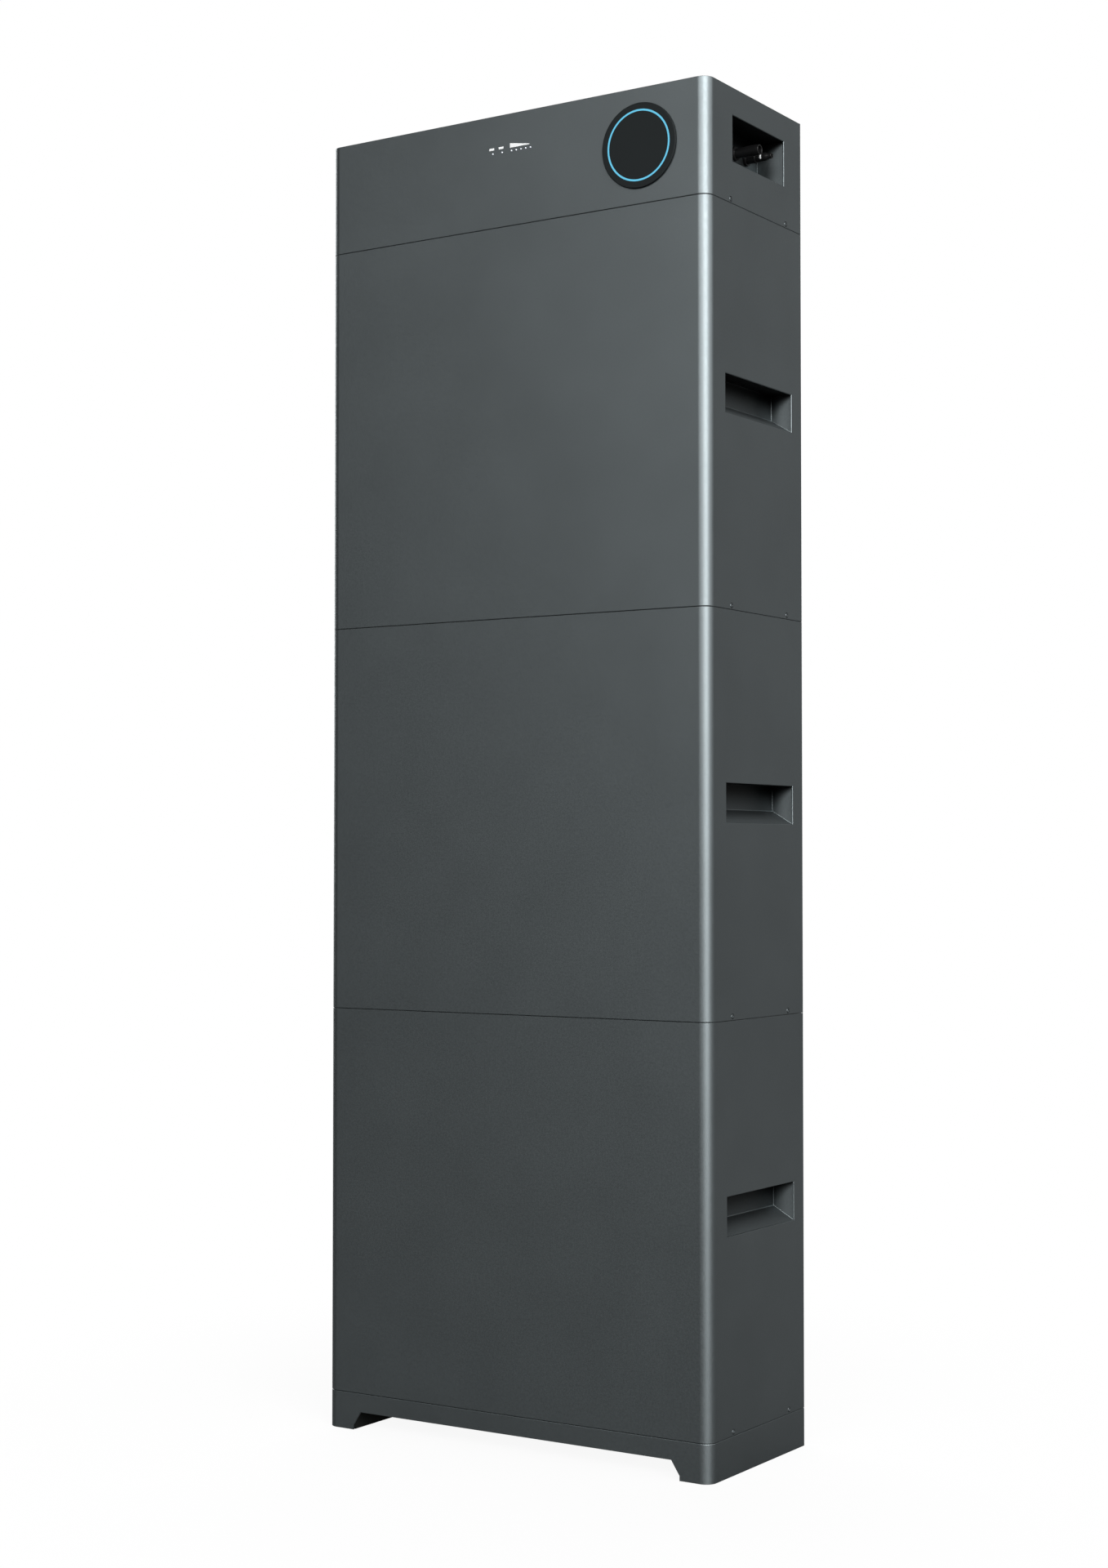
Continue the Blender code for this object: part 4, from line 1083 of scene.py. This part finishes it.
def key_ribs():
    """Ribs along the open connector, below and above it."""
    y, z = SOCKET_AXIS
    ribs = []
    for low, high in ((-RIB_REACH, -RIB_ROOT), (RIB_ROOT, RIB_REACH)):
        ribs.append(box((RIB_START, y - RIB_HALF, z + low), (RIB_END, y + RIB_HALF, z + high)))
    return together(ribs)


def make_socket():
    """The open connector, with a band at its mouth, two key ribs and a contact in its bore."""
    profile = connector_foot(SOCKET_FLANGE, SOCKET_RADIUS) + [
        (BAND_START, SOCKET_RADIUS),
        (BAND_START + BAND_SLOPE, BAND_RADIUS),
        (MOUTH - MOUTH_EDGE, BAND_RADIUS),
        (MOUTH, MOUTH_OUTER),
        (MOUTH, MOUTH_INNER),
        (MOUTH - MOUTH_FUNNEL, SOCKET_BORE),
        (SOCKET_FLOOR, SOCKET_BORE),
    ]
    shape = fuse(turned("X", SOCKET_AXIS, profile, CONNECTOR_STEPS), key_ribs())
    piece("socket_connector_housing", shape, "black", stands_for=["socket_connector"], width=0.0004)
    contact = [
        (SOCKET_FLOOR, CONTACT_RADIUS),
        (CONTACT_END, CONTACT_RADIUS),
        (CONTACT_END + CONTACT_EDGE, CONTACT_RADIUS - CONTACT_EDGE),
    ]
    shape = turned("X", SOCKET_AXIS, contact, HOLE_STEPS)
    piece("socket_connector_contact", shape, "screw", width=0.0001)


def clip_shape():
    """A thin band that goes part of the way round the second connector, on its front side. In white, it is a
    painted highlight.
    """
    y, z = PIN_AXIS
    section = rectangle(CLIP_LOW, CLIP_HIGH)
    rings = []
    for step in range(CLIP_STEPS + 1):
        angle = math.radians(CLIP_ANGLE + CLIP_SWEEP * step / CLIP_STEPS)
        across = math.cos(angle)
        up = math.sin(angle)
        rings.append([(x, y + reach * across, z + reach * up) for x, reach in section])
    return loft(rings)


def make_pin():
    """The connector with a collar, a white clip on one side and a thinner hollow tip. The clip's white is a
    painted highlight.
    """
    profile = connector_foot(PIN_FLANGE, PIN_RADIUS) + [
        (COLLAR_START, PIN_RADIUS),
        (COLLAR_START, COLLAR_RADIUS),
        (COLLAR_END, COLLAR_RADIUS),
        (COLLAR_END, NOSE_RADIUS),
        (NOSE_END, NOSE_RADIUS),
        (NECK_PLACE, NECK_RADIUS),
        (TIP_START, TIP_RADIUS),
        (TIP - TIP_EDGE, TIP_RADIUS),
        (TIP, TIP_RADIUS - TIP_EDGE),
        (TIP, TIP_BORE),
        (TIP - TIP_DEPTH, TIP_BORE),
    ]
    shape = turned("X", PIN_AXIS, profile, CONNECTOR_STEPS)
    piece("pin_connector_housing", shape, "black", stands_for=["pin_connector"], width=0.0003)
    piece("pin_connector_highlight_clip", clip_shape(), "mark", width=0.0002)


def make_connector_recess():
    ends = (RECESS_WALL - 2 * POCKET_WALL, RECESS_WALL + POCKET_WALL)
    holes = [rod("X", axis, ends, SHANK + FIT, HOLE_STEPS) for axis in (SOCKET_AXIS, PIN_AXIS)]
    recess_tray("connector_recess_tray", 1, holes, "connector_recess")
    make_socket()
    make_pin()


# Switches and ports in the left recess


def around(middle, size):
    """A rectangle at the recess's middle height, as front, rear, low and high."""
    length, height = size
    low = RECESS_MIDDLE - height / 2
    return (middle - length / 2, middle + length / 2, low, low + height)


def in_recess(edge):
    """Rounds only what stands out of the recess's back wall."""
    return 1.0 if all(vert.co.x < -RECESS_WALL for vert in edge.verts) else 0.0


def make_breaker():
    """A body behind the recess, with a nose that stands out of its back and a slot for the lever."""
    seat = -RECESS_WALL + POCKET_WALL + FIT
    face = -RECESS_WALL - BREAKER_RISE
    whole = around(BREAKER_MIDDLE, BREAKER_BODY)
    nose = around(BREAKER_MIDDLE, BREAKER_NOSE)
    slot = around(BREAKER_MIDDLE, BREAKER_SLOT)
    rings = [
        side_ring(seat + BREAKER_DEPTH, whole),
        side_ring(seat, whole),
        side_ring(seat, nose),
        side_ring(face, nose),
    ]
    tools = [side_block(slot, (face - BREAKER_RISE, PIVOT_X + SLOT_DEPTH))]
    for z in (RECESS_MIDDLE - BREAKER_GROOVE_PLACE, RECESS_MIDDLE + BREAKER_GROOVE_PLACE):
        low = (face - SMALL_CLEAR, nose[0] - SMALL_CLEAR, z - BREAKER_GROOVE)
        high = (face + BREAKER_GROOVE, nose[1] + SMALL_CLEAR, z + BREAKER_GROOVE)
        tools.append(box(low, high))
    shape = cut(loft(rings), together(tools))
    piece("breaker_housing", shape, "grey", stands_for=["breaker_body"], width=0.0008, share=in_recess)


def lever_ring(along, thickness):
    """A rectangle across the lever's arm, at a distance from its axis."""
    ring = []
    for width, across in ((-1, -1), (1, -1), (1, 1), (-1, 1)):
        offset = across * thickness / 2
        x = PIVOT_X + along * math.cos(LEVER_ANGLE) - offset * math.sin(LEVER_ANGLE)
        z = PIVOT_Z + along * math.sin(LEVER_ANGLE) + offset * math.cos(LEVER_ANGLE)
        ring.append((x, BREAKER_MIDDLE + width * ARM_HALF, z))
    return ring


def make_lever():
    """A hub and an arm with grip ridges near its end."""
    ends = (BREAKER_MIDDLE - LEVER_HALF, BREAKER_MIDDLE + LEVER_HALF)
    sections = list(ARM_ROOT)
    for place in RIDGE_PLACES:
        sections += [(place + along, thickness) for along, thickness in RIDGE]
    sections.append(ARM_END)
    arm = loft([lever_ring(along, thickness) for along, thickness in sections])
    shape = fuse(rod("Y", (PIVOT_X, PIVOT_Z), ends, HUB_RADIUS, HUB_STEPS), arm)
    piece("breaker_lever_arm", shape, "black", "lever", stands_for=["breaker_lever"], width=0.0003)


def make_button():
    """A bezel with a thin groove in its face, and a cap that travels in its bore."""
    outer, inner = BEZEL_GROOVE
    bezel = [
        (-RECESS_WALL + BEZEL_DEPTH, BEZEL_SHANK),
        (-RECESS_WALL, BEZEL_SHANK),
        (-RECESS_WALL, BEZEL_RADIUS),
        (SWITCH_FACE, BEZEL_RADIUS),
    ]
    bezel += rectangle((SWITCH_FACE, outer), (SWITCH_FACE + BEZEL_GROOVE_DEPTH, inner))
    bezel += [(SWITCH_FACE, BUTTON_BORE), (SWITCH_FACE + BUTTON_BORE_DEPTH, BUTTON_BORE)]
    shape = turned("X", BUTTON_CENTRE, bezel, CONNECTOR_STEPS)
    node = "power_button_body"
    piece("power_button_bezel", shape, "black", stands_for=[node], width=0.00015, share=in_recess)
    cap = [(SWITCH_FACE - rise, radius) for rise, radius in CAP_SIDE + CAP_HOLLOW]
    shape = turned("X", BUTTON_CENTRE, cap, CONNECTOR_STEPS)
    piece("power_button_cap", shape, "button", "button", stands_for=["power_button"], width=0.0002)


def port_tool(middle):
    """Cuts a port, with a notch below it for the latch of a plug."""
    mouth = around(middle, PORT_MOUTH)
    notch = (middle - NOTCH_HALF, middle + NOTCH_HALF, mouth[2] - NOTCH_HEIGHT, mouth[2] + NOTCH_LAP)
    near = SWITCH_FACE - 2 * SMALL_CLEAR
    return fuse(
        side_block(mouth, (near, SWITCH_FACE + PORT_DEPTH)),
        side_block(notch, (near, SWITCH_FACE + NOTCH_DEPTH)),
    )


def port_contacts(middle):
    """A row of contact leaves under the top of a port."""
    top = around(middle, PORT_MOUTH)[3] - LEAF_GAP
    contacts = []
    for step in range(LEAF_COUNT):
        y = middle + LEAF_PITCH * (step - (LEAF_COUNT - 1) / 2)
        low = (SWITCH_FACE + LEAF_SINK, y - LEAF_HALF, top - LEAF_HEIGHT)
        contacts.append(box(low, (SWITCH_FACE + PORT_DEPTH, y + LEAF_HALF, top)))
    return contacts


def make_ports():
    """A block with two open ports."""
    outline = around(PORTS_MIDDLE, PORTS_BLOCK)
    rings = [
        side_ring(-RECESS_WALL + PORTS_DEPTH, outline),
        side_ring(-RECESS_WALL, outline),
        side_ring(-RECESS_WALL, outline, PORTS_FLANGE),
        side_ring(SWITCH_FACE, outline, PORTS_FLANGE),
    ]
    tools = []
    contacts = []
    for middle in (PORTS_MIDDLE - PORT_OFFSET, PORTS_MIDDLE + PORT_OFFSET):
        tools.append(port_tool(middle))
        contacts += port_contacts(middle)
    shape = cut(loft(rings), together(tools))
    piece("data_ports_block", shape, "black", stands_for=["data_ports"], width=0.0004, share=in_recess)
    piece("data_ports_contacts", together(contacts), "contact", width=0.00008)


def make_switch_recess():
    ends = (-RECESS_WALL - POCKET_WALL, -RECESS_WALL + 2 * POCKET_WALL)
    holes = (around(BREAKER_MIDDLE, BREAKER_NOSE), around(PORTS_MIDDLE, PORTS_BLOCK))
    windows = [side_block(hole, ends, FIT) for hole in holes]
    windows.append(rod("X", BUTTON_CENTRE, ends, BEZEL_SHANK + FIT, HUB_STEPS))
    recess_tray("switch_recess_tray", -1, windows, "switch_recess")
    make_breaker()
    make_lever()
    make_button()
    make_ports()


def make_control_unit():
    make_control_case()
    make_lid()
    make_indicators()
    make_marks()
    make_badge()
    make_connector_recess()
    make_switch_recess()


# Studio


def seen_share(tree):
    """1 for what the camera sees, straight or through glass, and a share of that in reflections."""
    path = tree.nodes.new("ShaderNodeLightPath")
    straight = arithmetic(tree, "MAXIMUM", path, "Is Camera Ray")
    link(tree, path, "Is Transmission Ray", straight, 1)
    mirrored = arithmetic(tree, "MULTIPLY_ADD", path, "Is Glossy Ray", BACKGROUND_SHARE)
    mirrored.use_clamp = True
    link(tree, straight, "Value", mirrored, 2)
    return mirrored


def more_behind(tree, seen):
    """The floor behind the tower shows more in reflections than the floor before it."""
    place = split_place(tree, "ShaderNodeNewGeometry", "Position")
    share = map_range(tree, place, "Y", BEHIND_REACH, (BACKGROUND_SHARE, BEHIND_SHARE))
    link(tree, share, "Result", seen, 1)


def fade_to_white(tree, seen):
    """Far from the object the floor is all white. Near it, a part of its own shade is left."""
    place = tree.nodes.new("ShaderNodeNewGeometry")
    length = tree.nodes.new("ShaderNodeVectorMath")
    length.operation = "LENGTH"
    link(tree, place, "Position", length, 0)
    near = map_range(tree, length, "Value", FADE_REACH, FADE_SHARES, smooth=True)
    share = arithmetic(tree, "MULTIPLY", seen, "Value")
    link(tree, near, "Result", share, 1)
    return share


def show_mix(tree, share, first, second, kind):
    """Shows a mix of two shaders by an output of the given kind."""
    mix = tree.nodes.new("ShaderNodeMixShader")
    link(tree, share, "Value", mix, 0)
    link(tree, first, 0, mix, 1)
    link(tree, second, 0, mix, 2)
    link(tree, mix, "Shader", tree.nodes.new(kind), "Surface")


def floor_material():
    """White to the eye with a soft shadow near the object, and a plain grey to other light."""
    material = bpy.data.materials.new("studio_floor")
    tree = empty_tree(material)
    seen = seen_share(tree)
    more_behind(tree, seen)
    share = fade_to_white(tree, seen)
    tone = tree.nodes.new("ShaderNodeMix")
    tone.data_type = "RGBA"
    for socket, grey in zip((6, 7), FLOOR_GREYS):
        tone.inputs[socket].default_value = (grey, grey, grey, 1.0)
    link(tree, seen, "Value", tone, 0)
    plain = tree.nodes.new("ShaderNodeBsdfDiffuse")
    link(tree, tone, 2, plain, "Color")
    white = tree.nodes.new("ShaderNodeEmission")
    show_mix(tree, share, plain, white, "ShaderNodeOutputMaterial")
    return material


def make_floor():
    mesh = bpy.data.meshes.new("floor")
    corners = rectangle((-FLOOR_HALF, -FLOOR_HALF), (FLOOR_HALF, FLOOR_HALF))
    mesh.from_pydata(at_height(corners, 0.0), [], [(0, 1, 2, 3)])
    mesh.materials.append(floor_material())
    floor = bpy.data.objects.new("floor", mesh)
    bpy.context.collection.objects.link(floor)


def make_world():
    """White to the eye and a dim even light to everything else."""
    world = bpy.data.worlds.new("studio")
    bpy.context.scene.world = world
    tree = empty_tree(world)
    seen = seen_share(tree)
    soft = tree.nodes.new("ShaderNodeBackground")
    soft.inputs["Strength"].default_value = WORLD_LEVEL
    white = tree.nodes.new("ShaderNodeBackground")
    for shade in (soft, white):
        shade.inputs["Color"].default_value = (1.0, 1.0, 1.0, 1.0)
    show_mix(tree, seen, soft, white, "ShaderNodeOutputWorld")


def softbox(name, azimuths, elevations, radiance):
    """A large far panel that faces the tower and fills the given angles."""
    azimuth = math.radians(sum(azimuths) / 2)
    elevation = math.radians(sum(elevations) / 2)
    half_turn = math.radians(azimuths[1] - azimuths[0]) / 2
    half_rise = math.radians(elevations[1] - elevations[0]) / 2
    light = bpy.data.lights.new(name, "AREA")
    light.shape = "RECTANGLE"
    light.size = 2 * LIGHT_DISTANCE * math.tan(half_turn) * math.cos(elevation)
    light.size_y = 2 * LIGHT_DISTANCE * math.tan(half_rise)
    light.energy = radiance * math.pi * light.size * light.size_y
    lamp = bpy.data.objects.new(name, light)
    away = LIGHT_DISTANCE * math.cos(elevation)
    height = LIGHT_AIM + LIGHT_DISTANCE * math.sin(elevation)
    lamp.location = (away * math.sin(azimuth), -away * math.cos(azimuth), height)
    lamp.rotation_euler = (math.pi / 2 - elevation, 0.0, azimuth)
    lamp.visible_camera = False
    bpy.context.collection.objects.link(lamp)


def make_lights():
    for name, panel in PANELS.items():
        softbox(name, *panel)


def make_camera():
    lens = bpy.data.cameras.new("camera")
    lens.lens = LENS
    lens.sensor_width = SENSOR_WIDTH
    camera = bpy.data.objects.new("camera", lens)
    camera.location = CAMERA_PLACE
    camera.rotation_euler = (math.radians(CAMERA_TILT), 0.0, math.radians(CAMERA_TURN))
    bpy.context.collection.objects.link(camera)
    bpy.context.scene.camera = camera
    bpy.context.scene.view_settings.view_transform = "Standard"


def main():
    dress_solids()
    make_plinth()
    make_modules()
    make_control_unit()
    make_floor()
    make_world()
    make_lights()
    make_camera()


main()
